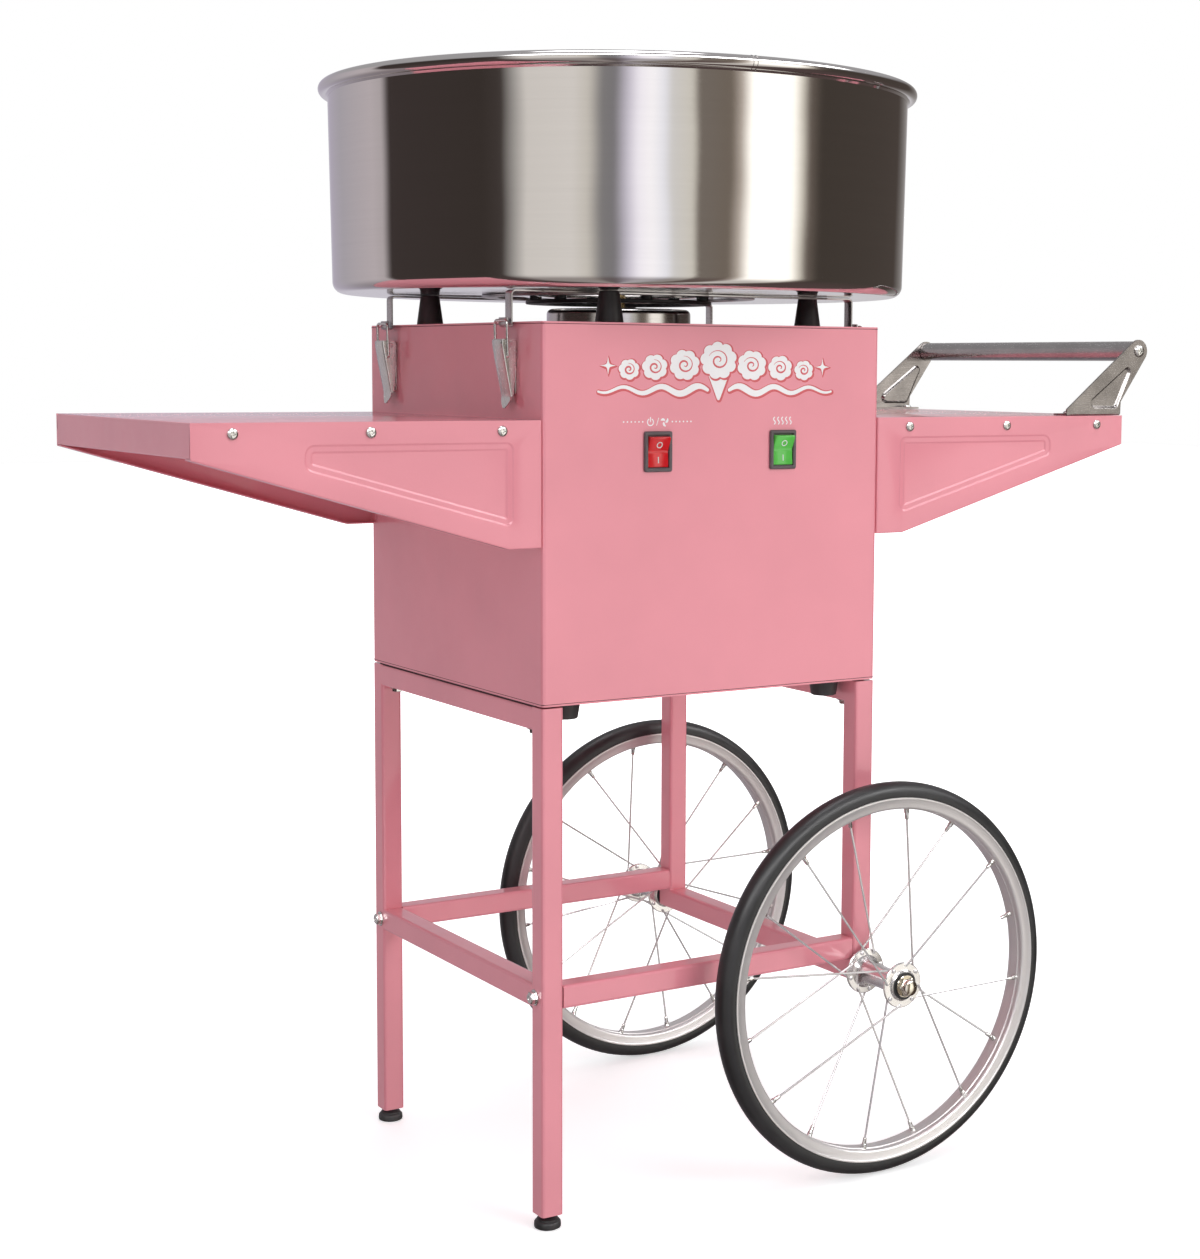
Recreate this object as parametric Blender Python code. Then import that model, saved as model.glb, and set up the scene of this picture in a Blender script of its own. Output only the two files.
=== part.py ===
"""Cotton candy machine with a bowl, on a two-wheeled cart.

Units are metres, +Z is up, the front panel faces -Y and the push handle is at +X.
Shapes are given in the cart's frame, whose origin is on the ground under the cabinet's
centre. The empty "cart" moves that frame along X, so that the world origin is on the
ground under the middle of the whole object.
"""

import math

import bmesh
import bpy
from mathutils import Matrix, Vector

# ---------------------------------------------------------------- driving dimensions
GAP = 0.0003  # between neighbouring pieces
SHEET = 0.0012  # sheet steel of the cabinet and the trays

CABINET_X = 0.340
CABINET_Y = 0.336
CABINET_BOTTOM = 0.4455
CABINET_TOP = 0.761
COVER = 0.0015  # thickness of the cabinet's top and base
CABINET_BEND = 0.003
SEAM = 0.0005  # shadow gap between the shell and its top and base
SKIRT = 0.015
SKIRT_INSET = SHEET + GAP
CABINET_FOOT_HEIGHT = 0.0148
INLET_PLACE = (0.105, 0.500)  # power inlet on the back wall, X and Z
INLET_CUTOUT = (0.0282, 0.0212)
LOUVRE = (0.050, 0.004)
LOUVRE_COLUMNS = (-0.085, -0.020)
LOUVRE_ROWS = 7
LOUVRE_LOWEST = 0.625
LOUVRE_PITCH = 0.013

TUBE = 0.020  # square tube of the stand
TUBE_WALL = 0.0012
TUBE_ROUND = 0.0025
STAND_TOP = 0.444
LEG_X = 0.160
LEG_Y = 0.158
LEFT_LEG_BOTTOM = 0.012
RAIL_BOTTOM = 0.189
PLUG = 0.004  # plate that closes a tube's end
FOOT_STUD_RADIUS = 0.004
FOOT_STUD_TOP = 0.038

WHEEL_RADIUS = 0.1785
WHEEL_Y = 0.201
AXLE_RADIUS = 0.005
AXLE_BORE = AXLE_RADIUS + GAP
AXLE_HALF = 0.2385
WHEEL_FACETS = 36
RIM_BED = 0.1540
RIM_EDGE = 0.1655
SPOKES_PER_FLANGE = 8
SPOKE_RADIUS = 0.0011
FLANGE_RADIUS = 0.0205
FLANGE_OFFSET = 0.0275  # from the wheel's middle plane to each hub flange

BOWL_RADIUS = 0.260
BOWL_TAPER = 0.003
BOWL_BOTTOM = 0.788
BOWL_WALL_TOP = 0.9635
BOWL_SHEET = 0.0010
BOWL_CORNER = 0.014
BOWL_HOLE = 0.075
BEAD_RADIUS = 0.0050
SUPPORT_CIRCLE = 0.172  # where the rubber cones stand under the bowl
SUPPORT_TURN = -33
HOOK_LEVEL = (BOWL_BOTTOM - 0.0020, BOWL_BOTTOM - GAP)
HOOK_SHEET = 0.0015
HOOK_OUT = 0.0035  # of a strap's end, from the cabinet's side

TRAY_REACH = 0.465  # from the cabinet's centre to a tray's end
TRAY_TOP = 0.681
TRAY_LIP = 0.027
PLATE_DEPTH = 0.104  # height of a tray's side plate at the cabinet
PLATE_FLANGE = 0.012
PLATE_FLAT = 0.030  # level stretch of a side plate's lower edge

HANDLE_X = 0.487
HANDLE_Z = 0.743
HANDLE_RADIUS = 0.0095
HANDLE_ROUND = 0.0110  # round end of each bracket
BRACKET_Y = 0.166
BRACKET_SHEET = 0.002

SWITCH_Z = 0.654
SWITCH_XS = {"motor": -0.0605, "heat": 0.0665}
SWITCH_CUTOUT = (0.0246, 0.0316)
BEZEL = (0.027, 0.034)
ROCKER_RADIUS = 0.0134  # from the rocker's pivot to its two rounded ends
ROCKER_TILT = math.radians(9)  # of the pressed-in end at rest, from level

LATCH_Y = 0.117
PIVOT_OUT = 0.0070  # the lever's pivot, out from the cabinet's face
PIVOT_Z = 0.7425
LINK_OUT = 0.0100  # where the wire loop is held in the lever
LINK_Z = 0.7320
LOOP_OUT = 0.0110
LOOP_TOP = 0.7620
LOOP_HALF = 0.0108
LEVER_HALF = 0.00925
WIRE = 0.0010
EAR = (0.0063, 0.0075)  # each ear of a latch's base, from the latch's middle

MOTOR_TOP = 0.698
MOTOR_POST = 0.047
SHAFT_RADIUS = 0.006
SHAFT_BORE = SHAFT_RADIUS + GAP
HEAD_BOTTOM = 0.798

AXLE_Z = WHEEL_RADIUS
CART_X = (TRAY_REACH - HANDLE_X - HANDLE_ROUND) / 2
HALF_X = CABINET_X / 2
HALF_Y = CABINET_Y / 2

# ---------------------------------------------------------------- materials
FINISHES = {
    # name: colour, roughness, metallic
    "pink_paint": ((0.76, 0.31, 0.37), 0.40, 0.0),
    "polished_steel": ((0.72, 0.71, 0.70), 0.12, 1.0),
    "brushed_steel": ((0.55, 0.54, 0.53), 0.30, 1.0),
    "chrome": ((0.80, 0.80, 0.80), 0.10, 1.0),
    "aluminium": ((0.74, 0.74, 0.75), 0.35, 1.0),
    "brass": ((0.78, 0.58, 0.28), 0.30, 1.0),
    "cast_metal": ((0.20, 0.21, 0.22), 0.55, 0.6),
    "tyre_rubber": ((0.022, 0.022, 0.024), 0.45, 0.0),
    "black_rubber": ((0.03, 0.03, 0.032), 0.60, 0.0),
    "switch_plastic": ((0.09, 0.085, 0.09), 0.45, 0.0),
    "red_plastic": ((0.72, 0.03, 0.05), 0.20, 0.0),
    "green_plastic": ((0.12, 0.58, 0.12), 0.20, 0.0),
    "black_plastic": ((0.03, 0.03, 0.03), 0.50, 0.0),
}


def make_material(name, colour, roughness, metallic):
    material = bpy.data.materials.new(name)
    material.use_nodes = True
    shader = material.node_tree.nodes["Principled BSDF"]
    shader.inputs["Base Color"].default_value = (*colour, 1.0)
    shader.inputs["Roughness"].default_value = roughness
    shader.inputs["Metallic"].default_value = metallic
    material.diffuse_color = (*colour, 1.0)
    return material


# ---------------------------------------------------------------- meshes
def mesh_of(bm, name):
    """A closed bmesh as a mesh, its faces turned outwards."""
    bmesh.ops.recalc_face_normals(bm, faces=bm.faces)
    mesh = bpy.data.meshes.new(name)
    bm.to_mesh(mesh)
    bm.free()
    return mesh


def block(x, y, z, round_axis=None, radius=0.0):
    """A box from (low, high) pairs. The four edges along round_axis may be rounded."""
    bm = bmesh.new()
    bmesh.ops.create_cube(bm, size=1.0)
    spans = (x, y, z)
    bmesh.ops.scale(bm, vec=[high - low for low, high in spans], verts=bm.verts)
    bmesh.ops.translate(bm, vec=[(low + high) / 2 for low, high in spans], verts=bm.verts)
    if round_axis is not None:
        along = [e for e in bm.edges if runs_along(e, round_axis)]
        bmesh.ops.bevel(bm, geom=along, offset=radius, segments=2, profile=0.5, affect="EDGES")
    return mesh_of(bm, "block")


def runs_along(edge, axis):
    span = edge.verts[1].co - edge.verts[0].co
    return abs(span[axis]) > 0.999 * span.length


def prism(outline, axis, low, high):
    """A flat outline pushed from low to high along axis. It is in the other two axes, in X, Y, Z order."""
    bm = bmesh.new()
    corners = []
    for a, b in outline:
        place = [a, b]
        place.insert(axis, low)
        corners.append(bm.verts.new(place))
    cap = bm.faces.new(corners)
    pushed = bmesh.ops.extrude_face_region(bm, geom=[cap])["geom"]
    shift = Vector((0, 0, 0))
    shift[axis] = high - low
    moved = [v for v in pushed if isinstance(v, bmesh.types.BMVert)]
    bmesh.ops.translate(bm, vec=shift, verts=moved)
    return mesh_of(bm, "prism")


def arc(centre, radius, start, end, count):
    """Points on a circle, from one angle to another in degrees, both included."""
    angles = [math.radians(start + (end - start) * i / count) for i in range(count + 1)]
    return [(centre[0] + radius * math.cos(a), centre[1] + radius * math.sin(a)) for a in angles]


def rounded_rectangle(half_a, half_b, radius, count=2):
    outline = []
    for quarter, (sa, sb) in enumerate(((1, 1), (-1, 1), (-1, -1), (1, -1))):
        centre = (sa * (half_a - radius), sb * (half_b - radius))
        outline += arc(centre, radius, 90 * quarter, 90 * quarter + 90, count)
    return outline


def ribbon(path, thickness):
    """The outline of a strip of sheet whose middle line is path, with mitred bends."""
    points = [Vector(p) for p in path]
    steps = [(b - a).normalized() for a, b in zip(points, points[1:])]
    sides = []
    for i, point in enumerate(points):
        before = steps[max(i - 1, 0)]
        after = steps[min(i, len(steps) - 1)]
        across = Vector((-(before + after).y, (before + after).x)).normalized()
        reach = thickness / 2 / across.dot(Vector((-after.y, after.x)))
        sides.append((point + across * reach, point - across * reach))
    return [tuple(left) for left, _ in sides] + [tuple(right) for _, right in reversed(sides)]


def turned(profile, steps, axis="Z"):
    """A closed profile of (radius, height) points turned about Z, or laid over to turn about Y."""
    bm = bmesh.new()
    rings = []
    for radius, height in profile:
        if radius < 1e-7:
            rings.append([bm.verts.new((0, 0, height))] * steps)
            continue
        angles = [2 * math.pi * i / steps for i in range(steps)]
        rings.append([bm.verts.new((radius * math.cos(a), radius * math.sin(a), height)) for a in angles])
    for ring, following in zip(rings, rings[1:] + rings[:1]):
        for i in range(steps):
            j = (i + 1) % steps
            corners = list(dict.fromkeys((ring[i], ring[j], following[j], following[i])))
            if len(corners) > 2:
                bm.faces.new(corners)
    if axis == "Y":
        bmesh.ops.rotate(bm, verts=bm.verts, matrix=Matrix.Rotation(math.pi / 2, 3, "X"))
    return mesh_of(bm, "turned")


def swept(path, radius, sides):
    """A round wire along a flat path of points, with mitred bends."""
    points = [Vector(p) for p in path]
    steps = [(b - a).normalized() for a, b in zip(points, points[1:])]
    bends = [a.cross(b) for a, b in zip(steps, steps[1:])]
    normal = max(bends, key=lambda bend: bend.length, default=steps[0].orthogonal()).normalized()
    bm = bmesh.new()
    rings = []
    for i, point in enumerate(points):
        before = steps[max(i - 1, 0)]
        after = steps[min(i, len(steps) - 1)]
        across = (before + after).normalized().cross(normal)
        reach = 1 / across.dot(after.cross(normal))
        angles = [2 * math.pi * (k + 0.5) / sides for k in range(sides)]
        ring = [point + (across * reach * math.cos(a) + normal * math.sin(a)) * radius for a in angles]
        rings.append([bm.verts.new(place) for place in ring])
    for ring, following in zip(rings, rings[1:]):
        for i in range(sides):
            j = (i + 1) % sides
            bm.faces.new((ring[i], ring[j], following[j], following[i]))
    bm.faces.new(rings[0])
    bm.faces.new(rings[-1])
    return mesh_of(bm, "swept")


def rod(start, end, radius, sides):
    return swept([start, end], radius, sides)


def joined(meshes):
    """Separate meshes as one, to use as a cutter or to add in one step."""
    bm = bmesh.new()
    for mesh in meshes:
        bm.from_mesh(mesh)
    mesh = bpy.data.meshes.new("joined")
    bm.to_mesh(mesh)
    bm.free()
    return mesh


def combined(base, unions=(), cuts=()):
    """base with unions added and then cuts taken away, as one new mesh."""
    helpers = [bpy.data.objects.new("helper", mesh) for mesh in (base, *unions, *cuts)]
    for helper in helpers:
        bpy.context.scene.collection.objects.link(helper)
    operations = ["UNION"] * len(unions) + ["DIFFERENCE"] * len(cuts)
    for helper, operation in zip(helpers[1:], operations):
        modifier = helpers[0].modifiers.new(operation, "BOOLEAN")
        modifier.operation = operation
        modifier.solver = "EXACT"
        modifier.object = helper
    graph = bpy.context.evaluated_depsgraph_get()
    mesh = bpy.data.meshes.new_from_object(helpers[0].evaluated_get(graph))
    for helper in helpers:
        bpy.data.objects.remove(helper)
    return mesh


# ---------------------------------------------------------------- objects
def pivot(name, place=(0, 0, 0), parent=None, turn=0.0):
    """An empty that holds a group of pieces. A moving group has it on the joint's axis."""
    empty = bpy.data.objects.new(name, None)
    empty.empty_display_size = 0.03
    empty.location = place
    empty.rotation_euler.z = turn
    empty.parent = parent
    bpy.context.scene.collection.objects.link(empty)
    return empty


def piece(name, mesh, finish, parent, place=(0, 0, 0), turn=0.0, smooth=35):
    """One named object for one sub-part. Its mesh may be shared with another."""
    if not mesh.materials:
        mesh.materials.append(MATERIALS[finish])
        mesh.shade_smooth()
        mesh.set_sharp_from_angle(angle=math.radians(smooth))
    obj = bpy.data.objects.new(name, mesh)
    obj.location = place
    obj.rotation_euler.z = turn
    obj.parent = parent
    bpy.context.scene.collection.objects.link(obj)
    return obj


# ---------------------------------------------------------------- the stand
def tube(x, y, z, axis):
    """A length of square tube, with its rounded corners."""
    return block(x, y, z, axis, TUBE_ROUND)


def inner(low_high, wall=TUBE_WALL):
    return (low_high[0] + wall, low_high[1] - wall)


def across(centre):
    return (centre - TUBE / 2, centre + TUBE / 2)


def end_frame(leg_x, leg_bottom):
    """Two legs and a top rail as one weldment, and the hollows inside them, which all meet."""
    x = across(leg_x)
    top_rail = (STAND_TOP - TUBE, STAND_TOP)
    solids = [tube(x, across(side * LEG_Y), (leg_bottom, STAND_TOP), 2) for side in (-1, 1)]
    solids.append(tube(x, (-LEG_Y, LEG_Y), top_rail, 1))
    hollows = [
        block(inner(x), inner(across(side * LEG_Y)), (leg_bottom + PLUG, STAND_TOP - TUBE_WALL))
        for side in (-1, 1)
    ]
    hollows.append(block(inner(x), (-LEG_Y, LEG_Y), inner(top_rail)))
    return solids, hollows


def build_stand(cart):
    lower_rail = (RAIL_BOTTOM, RAIL_BOTTOM + TUBE)

    solids, hollows = end_frame(-LEG_X, LEFT_LEG_BOTTOM)
    x = across(-LEG_X)
    solids.append(tube(x, (-LEG_Y, LEG_Y), lower_rail, 1))
    hollows.append(block(inner(x), (-LEG_Y, LEG_Y), inner(lower_rail)))
    stud_hole = FOOT_STUD_RADIUS + GAP
    for side in (-1, 1):
        place = (-LEG_X, side * LEG_Y, LEFT_LEG_BOTTOM)
        hollows.append(rod(shifted(place, dz=-0.002), shifted(place, dz=PLUG + 0.002), stud_hole, 10))
    piece("left_end_frame", combined(solids[0], solids[1:], hollows), "pink_paint", cart)

    # The right legs stand on the axle tube, which runs the full width between the wheels.
    axle_tube = (AXLE_Z - TUBE / 2, AXLE_Z + TUBE / 2)
    solids, hollows = end_frame(LEG_X, AXLE_Z)
    x = across(LEG_X)
    solids.append(tube(x, (-HALF_Y, HALF_Y), axle_tube, 1))
    hollows[0] = block(inner(x), inner(across(-LEG_Y)), (AXLE_Z, STAND_TOP - TUBE_WALL))
    hollows[1] = block(inner(x), inner(across(LEG_Y)), (AXLE_Z, STAND_TOP - TUBE_WALL))
    hollows.append(block(inner(x), (-HALF_Y + PLUG, HALF_Y - PLUG), inner(axle_tube)))
    hollows.append(rod((LEG_X, -HALF_Y - 0.01, AXLE_Z), (LEG_X, HALF_Y + 0.01, AXLE_Z), AXLE_BORE, 12))
    piece("right_end_frame", combined(solids[0], solids[1:], hollows), "pink_paint", cart)

    span = (-LEG_X + TUBE / 2 + GAP, LEG_X - TUBE / 2 - GAP)
    rail = combined(
        tube(span, across(0), lower_rail, 0),
        cuts=[block((-LEG_X, LEG_X), inner(across(0)), inner(lower_rail))],
    )
    piece("front_rail", rail, "pink_paint", cart, (0, -LEG_Y, 0))
    piece("back_rail", rail, "pink_paint", cart, (0, LEG_Y, 0))


def shifted(place, dx=0.0, dy=0.0, dz=0.0):
    return (place[0] + dx, place[1] + dy, place[2] + dz)


def build_levelling_feet(cart):
    """A rubber pad, its collar, and the stud that screws up into the leg."""
    mesh = turned(
        [
            (0.0, 0.0), (0.0115, 0.0), (0.0115, 0.0055), (0.0090, 0.0080),
            (FOOT_STUD_RADIUS, 0.0090), (FOOT_STUD_RADIUS, FOOT_STUD_TOP), (0.0, FOOT_STUD_TOP),
        ],  # fmt: skip
        10,
    )
    for name, side in (("front", -1), ("back", 1)):
        foot = pivot(f"levelling_{name}", (-LEG_X, side * LEG_Y, 0), cart)
        piece(f"levelling_foot_{name}", mesh, "black_rubber", foot)


# ---------------------------------------------------------------- the wheels
def tyre_mesh():
    """A solid rubber tyre, seated in the rim's channel. Heights are from the wheel's middle plane."""
    seat = [(0.1603, 0.0064), (RIM_EDGE + 0.0002, 0.0084), (RIM_EDGE + 0.0008, 0.0108)]
    tread = arc((WHEEL_RADIUS - 0.0108, 0.0), 0.0108, 60, 0, 2)
    half = seat + tread
    profile = half + [(r, -h) for r, h in reversed(half[:-1])]
    return turned(profile, WHEEL_FACETS, "Y")


def rim_mesh():
    """A pressed rim: the spoke bed inside, two walls and the channel that holds the tyre."""
    half = [
        (RIM_BED, 0.0050), (RIM_BED + 0.0035, 0.0100), (RIM_EDGE, 0.0105),
        (RIM_EDGE, 0.0091), (0.1600, 0.0071),
    ]  # fmt: skip
    return turned(half + [(r, -h) for r, h in reversed(half)], WHEEL_FACETS, "Y")


def hub_mesh():
    """The hub: two flanges, a barrel, end caps and a bore for the axle, with its spokes welded in."""
    flange = FLANGE_OFFSET
    half = [
        (AXLE_BORE, 0.0310), (0.0090, 0.0310), (0.0110, flange + 0.0015),
        (FLANGE_RADIUS, flange + 0.0015), (FLANGE_RADIUS, flange - 0.0015), (0.0120, flange - 0.0025),
    ]  # fmt: skip
    body = turned(half + [(r, -h) for r, h in reversed(half)], 16, "Y")
    return combined(body, [joined(group) for group in spoke_groups()])


def spoke_groups():
    """Four groups of spokes. In a group none touch: one flange's spokes that lean the same way.

    Neighbours on a flange swap holes, so each pair crosses once, near the hub.
    """
    pitch = 2 * math.pi / SPOKES_PER_FLANGE
    hole_circle = FLANGE_RADIUS - 0.0030
    rim_end = RIM_BED * math.cos(math.pi / WHEEL_FACETS) - 2 * GAP
    first = math.radians(37)
    groups = []
    for side, start in ((-1, first), (1, first + pitch / 2)):
        for way in (-1, 1):
            group = []
            for i in range(SPOKES_PER_FLANGE // 2):
                at_rim = start + pitch * (2 * i + (1 - way) / 2)
                at_hub = at_rim + way * pitch
                inner_end = polar(hole_circle, at_hub, side * (FLANGE_OFFSET + way * 0.0008))
                outer_end = polar(rim_end, at_rim, side * 0.0025)
                group.append(rod(inner_end, outer_end, SPOKE_RADIUS, 4))
            groups.append(group)
    return groups


def polar(radius, angle, y):
    return (radius * math.cos(angle), y, radius * math.sin(angle))


def build_wheels(cart):
    tyre, rim, hub, nut = tyre_mesh(), rim_mesh(), hub_mesh(), axle_nut_mesh()
    axle = rod((LEG_X, -AXLE_HALF, AXLE_Z), (LEG_X, AXLE_HALF, AXLE_Z), AXLE_RADIUS, 12)
    piece("axle", axle, "chrome", cart)
    for name, side in (("front", -1), ("back", 1)):
        turn = 0.0 if side < 0 else math.pi
        wheel = pivot(f"wheel_{name}", (LEG_X, side * WHEEL_Y, AXLE_Z), cart, turn)
        piece(f"tyre_{name}", tyre, "tyre_rubber", wheel)
        piece(f"rim_{name}", rim, "aluminium", wheel)
        piece(f"hub_{name}", hub, "chrome", wheel)
        piece(f"axle_nut_{name}", nut, "chrome", cart, (LEG_X, side * WHEEL_Y, AXLE_Z), turn)


def axle_nut_mesh():
    """A domed hexagon nut on the axle's end, outside the hub. Outwards is -Y."""
    face = 0.0313
    depth = AXLE_HALF - WHEEL_Y + GAP
    hexagon = rod((0, -face, 0), (0, -face - 0.0058, 0), 0.0085, 6)
    washer = rod((0, -face, 0), (0, -face - 0.0012, 0), 0.0095, 12)
    dome = [(0.0, 0.0420), (0.0048, 0.0405), (0.0070, 0.0365), (0.0070, 0.0340), (0.0, 0.0340)]
    dome = turned(dome, 12, "Y")
    bore = rod((0, -face + 0.002, 0), (0, -depth, 0), AXLE_BORE, 12)
    return combined(hexagon, [washer, dome], [bore])


# ---------------------------------------------------------------- the cabinet
def build_cabinet(cart):
    """The wrapped shell, and a top and a base that are set off from it by a thin shadow gap."""
    outer = rounded_rectangle(HALF_X, HALF_Y, CABINET_BEND)
    inside = rounded_rectangle(HALF_X - SHEET, HALF_Y - SHEET, CABINET_BEND - SHEET)
    shell_low = CABINET_BOTTOM + COVER + SEAM
    shell_high = CABINET_TOP - COVER - SEAM
    shell = combined(
        prism(outer, 2, shell_low, shell_high),
        cuts=[prism(inside, 2, shell_low - 0.01, shell_high + 0.01), joined(shell_openings())],
    )
    piece("cabinet_shell", shell, "pink_paint", cart)

    shaft_hole = rod((0, 0, CABINET_TOP - 0.01), (0, 0, CABINET_TOP + 0.01), SHAFT_RADIUS * 2, 16)
    cover = combined(closure_mesh(outer, CABINET_TOP - COVER, -1), cuts=[shaft_hole])
    piece("cabinet_top", cover, "pink_paint", cart)
    piece("cabinet_base", closure_mesh(outer, CABINET_BOTTOM, 1), "pink_paint", cart)

    height = CABINET_FOOT_HEIGHT
    foot = turned([(0.0, 0.0), (0.0115, 0.0), (0.01375, height), (0.0, height)], 12)
    for name, x, y in corners_of(0.134, 0.140):
        piece(f"cabinet_foot_{name}", foot, "black_rubber", cart, (x, y, CABINET_BOTTOM - GAP - height))


def closure_mesh(outline, low, way):
    """The cabinet's top or base: a plate with a skirt that stands inside the shell, up or down."""
    face = low + COVER if way > 0 else low
    skirt = sorted((face - way * 0.0005, face + way * SKIRT))
    hollow = sorted((face, face + way * (SKIRT + 0.01)))
    outer, inside = [
        rounded_rectangle(HALF_X - inset, HALF_Y - inset, CABINET_BEND - SKIRT_INSET)
        for inset in (SKIRT_INSET, SKIRT_INSET + SHEET)
    ]
    plate = prism(outline, 2, low, low + COVER)
    return combined(plate, [prism(outer, 2, *skirt)], [prism(inside, 2, *hollow)])


def corners_of(x, y):
    """(name, x, y) for the four corners of a rectangle about the origin."""
    return [
        (f"{end}_{side}", sx * x, sy * y)
        for end, sy in (("front", -1), ("back", 1))
        for side, sx in (("left", -1), ("right", 1))
    ]


def window(centre_x, centre_z, size, y):
    """A block that cuts a rectangular opening in the front or back wall."""
    half_x, half_z = size[0] / 2, size[1] / 2
    return block((centre_x - half_x, centre_x + half_x), y, (centre_z - half_z, centre_z + half_z))


def shell_openings():
    front = (-HALF_Y - 0.01, -HALF_Y + 0.01)
    back = (HALF_Y - 0.01, HALF_Y + 0.01)
    openings = [window(x, SWITCH_Z, SWITCH_CUTOUT, front) for x in SWITCH_XS.values()]
    openings.append(window(*INLET_PLACE, INLET_CUTOUT, back))
    for x in LOUVRE_COLUMNS:
        for row in range(LOUVRE_ROWS):
            openings.append(window(x, LOUVRE_LOWEST + LOUVRE_PITCH * row, LOUVRE, back))
    return openings


# ---------------------------------------------------------------- switches and the power inlet
def switch_frame_mesh():
    """Bezel and housing. The pivot of its rocker is the origin, and outwards is -Y."""
    half_x, half_z = BEZEL[0] / 2, BEZEL[1] / 2
    bezel = block((-half_x, half_x), (-0.0022, 0.0002), (-half_z, half_z), 1, 0.0015)
    housing = block((-0.0120, 0.0120), (0.0, 0.0240), (-0.0155, 0.0155))
    pocket = block((-0.0104, 0.0104), (-0.01, 0.0075), (-0.0138, 0.0138))
    blades = [
        block((-0.0032, 0.0032), (0.023, 0.031), (z - 0.0004, z + 0.0004))
        for z in (-0.009, 0.0, 0.009)
    ]
    return combined(bezel, [housing, joined(blades)], [pocket])


def rocker_mesh():
    """A shallow V in section, its ends round about the pivot, tilted with its lower end in."""
    reach = math.degrees(math.asin(0.0032 / ROCKER_RADIUS))
    back = math.degrees(math.asin(0.0055 / ROCKER_RADIUS))
    upper = arc((0, 0), ROCKER_RADIUS, 180 - 90 - back, 180 - 90 + reach, 3)
    lower = arc((0, 0), ROCKER_RADIUS, 270 - reach, 270 + back, 3)
    outline = upper + [(-0.0008, 0.0)] + lower
    turn = Matrix.Rotation(ROCKER_TILT, 2)
    outline = [tuple(turn @ Vector(p)) for p in outline]
    return prism(outline, 0, -0.0100, 0.0100)


def build_switches(cart):
    frame = switch_frame_mesh()
    finishes = {"motor": "red_plastic", "heat": "green_plastic"}
    for name, x in SWITCH_XS.items():
        place = (x, -HALF_Y - GAP - 0.0002, SWITCH_Z)
        piece(f"switch_frame_{name}", frame, "switch_plastic", cart, place)
        hinge = pivot(f"rocker_pivot_{name}", place, cart)
        piece(f"rocker_{name}", rocker_mesh(), finishes[name], hinge)

    x, z = INLET_PLACE
    bezel = block((-0.0165, 0.0165), (GAP, 0.0028), (-0.0130, 0.0130), 1, 0.002)
    housing = block((-0.0138, 0.0138), (-0.0240, 0.001), (-0.0103, 0.0103))
    pocket = block((-0.0122, 0.0122), (-0.0160, 0.01), (-0.0087, 0.0087))
    pins = [
        block((pin - 0.001, pin + 0.001), (-0.018, -0.002), (-0.003, 0.003))
        for pin in (-0.007, 0.0, 0.007)
    ]
    inlet = combined(bezel, [housing], [pocket])
    inlet = combined(inlet, [joined(pins)])
    piece("power_inlet", inlet, "black_plastic", cart, (x, HALF_Y, z))


# ---------------------------------------------------------------- toggle latches
def hole_through(out, z, radius):
    return rod((out, -0.02, z), (out, 0.02, z), radius, 8)


def latch_base_mesh():
    """A plate on the cabinet's face with two ears for the lever's pin. Outwards is +X, from the face."""
    plate = block((GAP, GAP + SHEET), (-EAR[1], EAR[1]), (0.7010, 0.7460))
    ear_outline = [(0.001, 0.7365), (0.0065, 0.7385)]
    ear_outline += arc((PIVOT_OUT, PIVOT_Z), 0.0033, -60, 90, 3) + [(0.001, 0.7460)]
    ears = [prism(ear_outline, 1, *span) for span in ((-EAR[1], -EAR[0]), EAR)]
    return combined(plate, ears, [hole_through(PIVOT_OUT, PIVOT_Z, 0.0015 + GAP)])


def latch_lever_mesh():
    """A tapering channel with a pointed tip. Its pin is the pivot, and it has two holes for the loop."""
    top, bend, tip = (0.0150, 0.7465), (0.0092, 0.6985), (0.0085, 0.6890)
    spine = ribbon([top, bend, tip], SHEET)
    front = prism(spine, 1, -LEVER_HALF, LEVER_HALF)
    corner = [(LEVER_HALF + 0.001, 0.6960), (LEVER_HALF + 0.001, 0.680), (0.0, 0.6885)]
    corner_cuts = [prism([(s * y, z) for y, z in corner], 0, 0.0, 0.03) for s in (-1, 1)]
    side = [(0.0148, 0.7460), (0.0050, 0.7460)] + arc((PIVOT_OUT, PIVOT_Z), 0.0036, 150, 240, 2)
    side += [(0.0092, 0.7010), (0.0096, 0.7010)]
    spans = ((-LEVER_HALF, SHEET - LEVER_HALF), (LEVER_HALF - SHEET, LEVER_HALF))
    flanges = [prism(side, 1, *span) for span in spans]
    pin_half = LEVER_HALF - 0.0003
    pin = rod((PIVOT_OUT, -pin_half, PIVOT_Z), (PIVOT_OUT, pin_half, PIVOT_Z), 0.0015, 8)
    return combined(front, flanges + [pin], [hole_through(LINK_OUT, LINK_Z, WIRE + GAP)] + corner_cuts)


def latch_loop_mesh():
    """A wire loop from the lever up to the bowl's hook, with its two ends turned in."""
    half, end, bend = LOOP_HALF, 0.0079, 0.003
    low, high = (LINK_OUT, LINK_Z), (LOOP_OUT, LOOP_TOP)
    path = [
        (low[0], -end, low[1]), (low[0], -half, low[1]), (high[0], -half, high[1] - bend),
        (high[0], -half + bend, high[1]), (high[0], half - bend, high[1]),
        (high[0], half, high[1] - bend), (low[0], half, low[1]), (low[0], end, low[1]),
    ]  # fmt: skip
    return swept(path, WIRE, 6)


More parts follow.
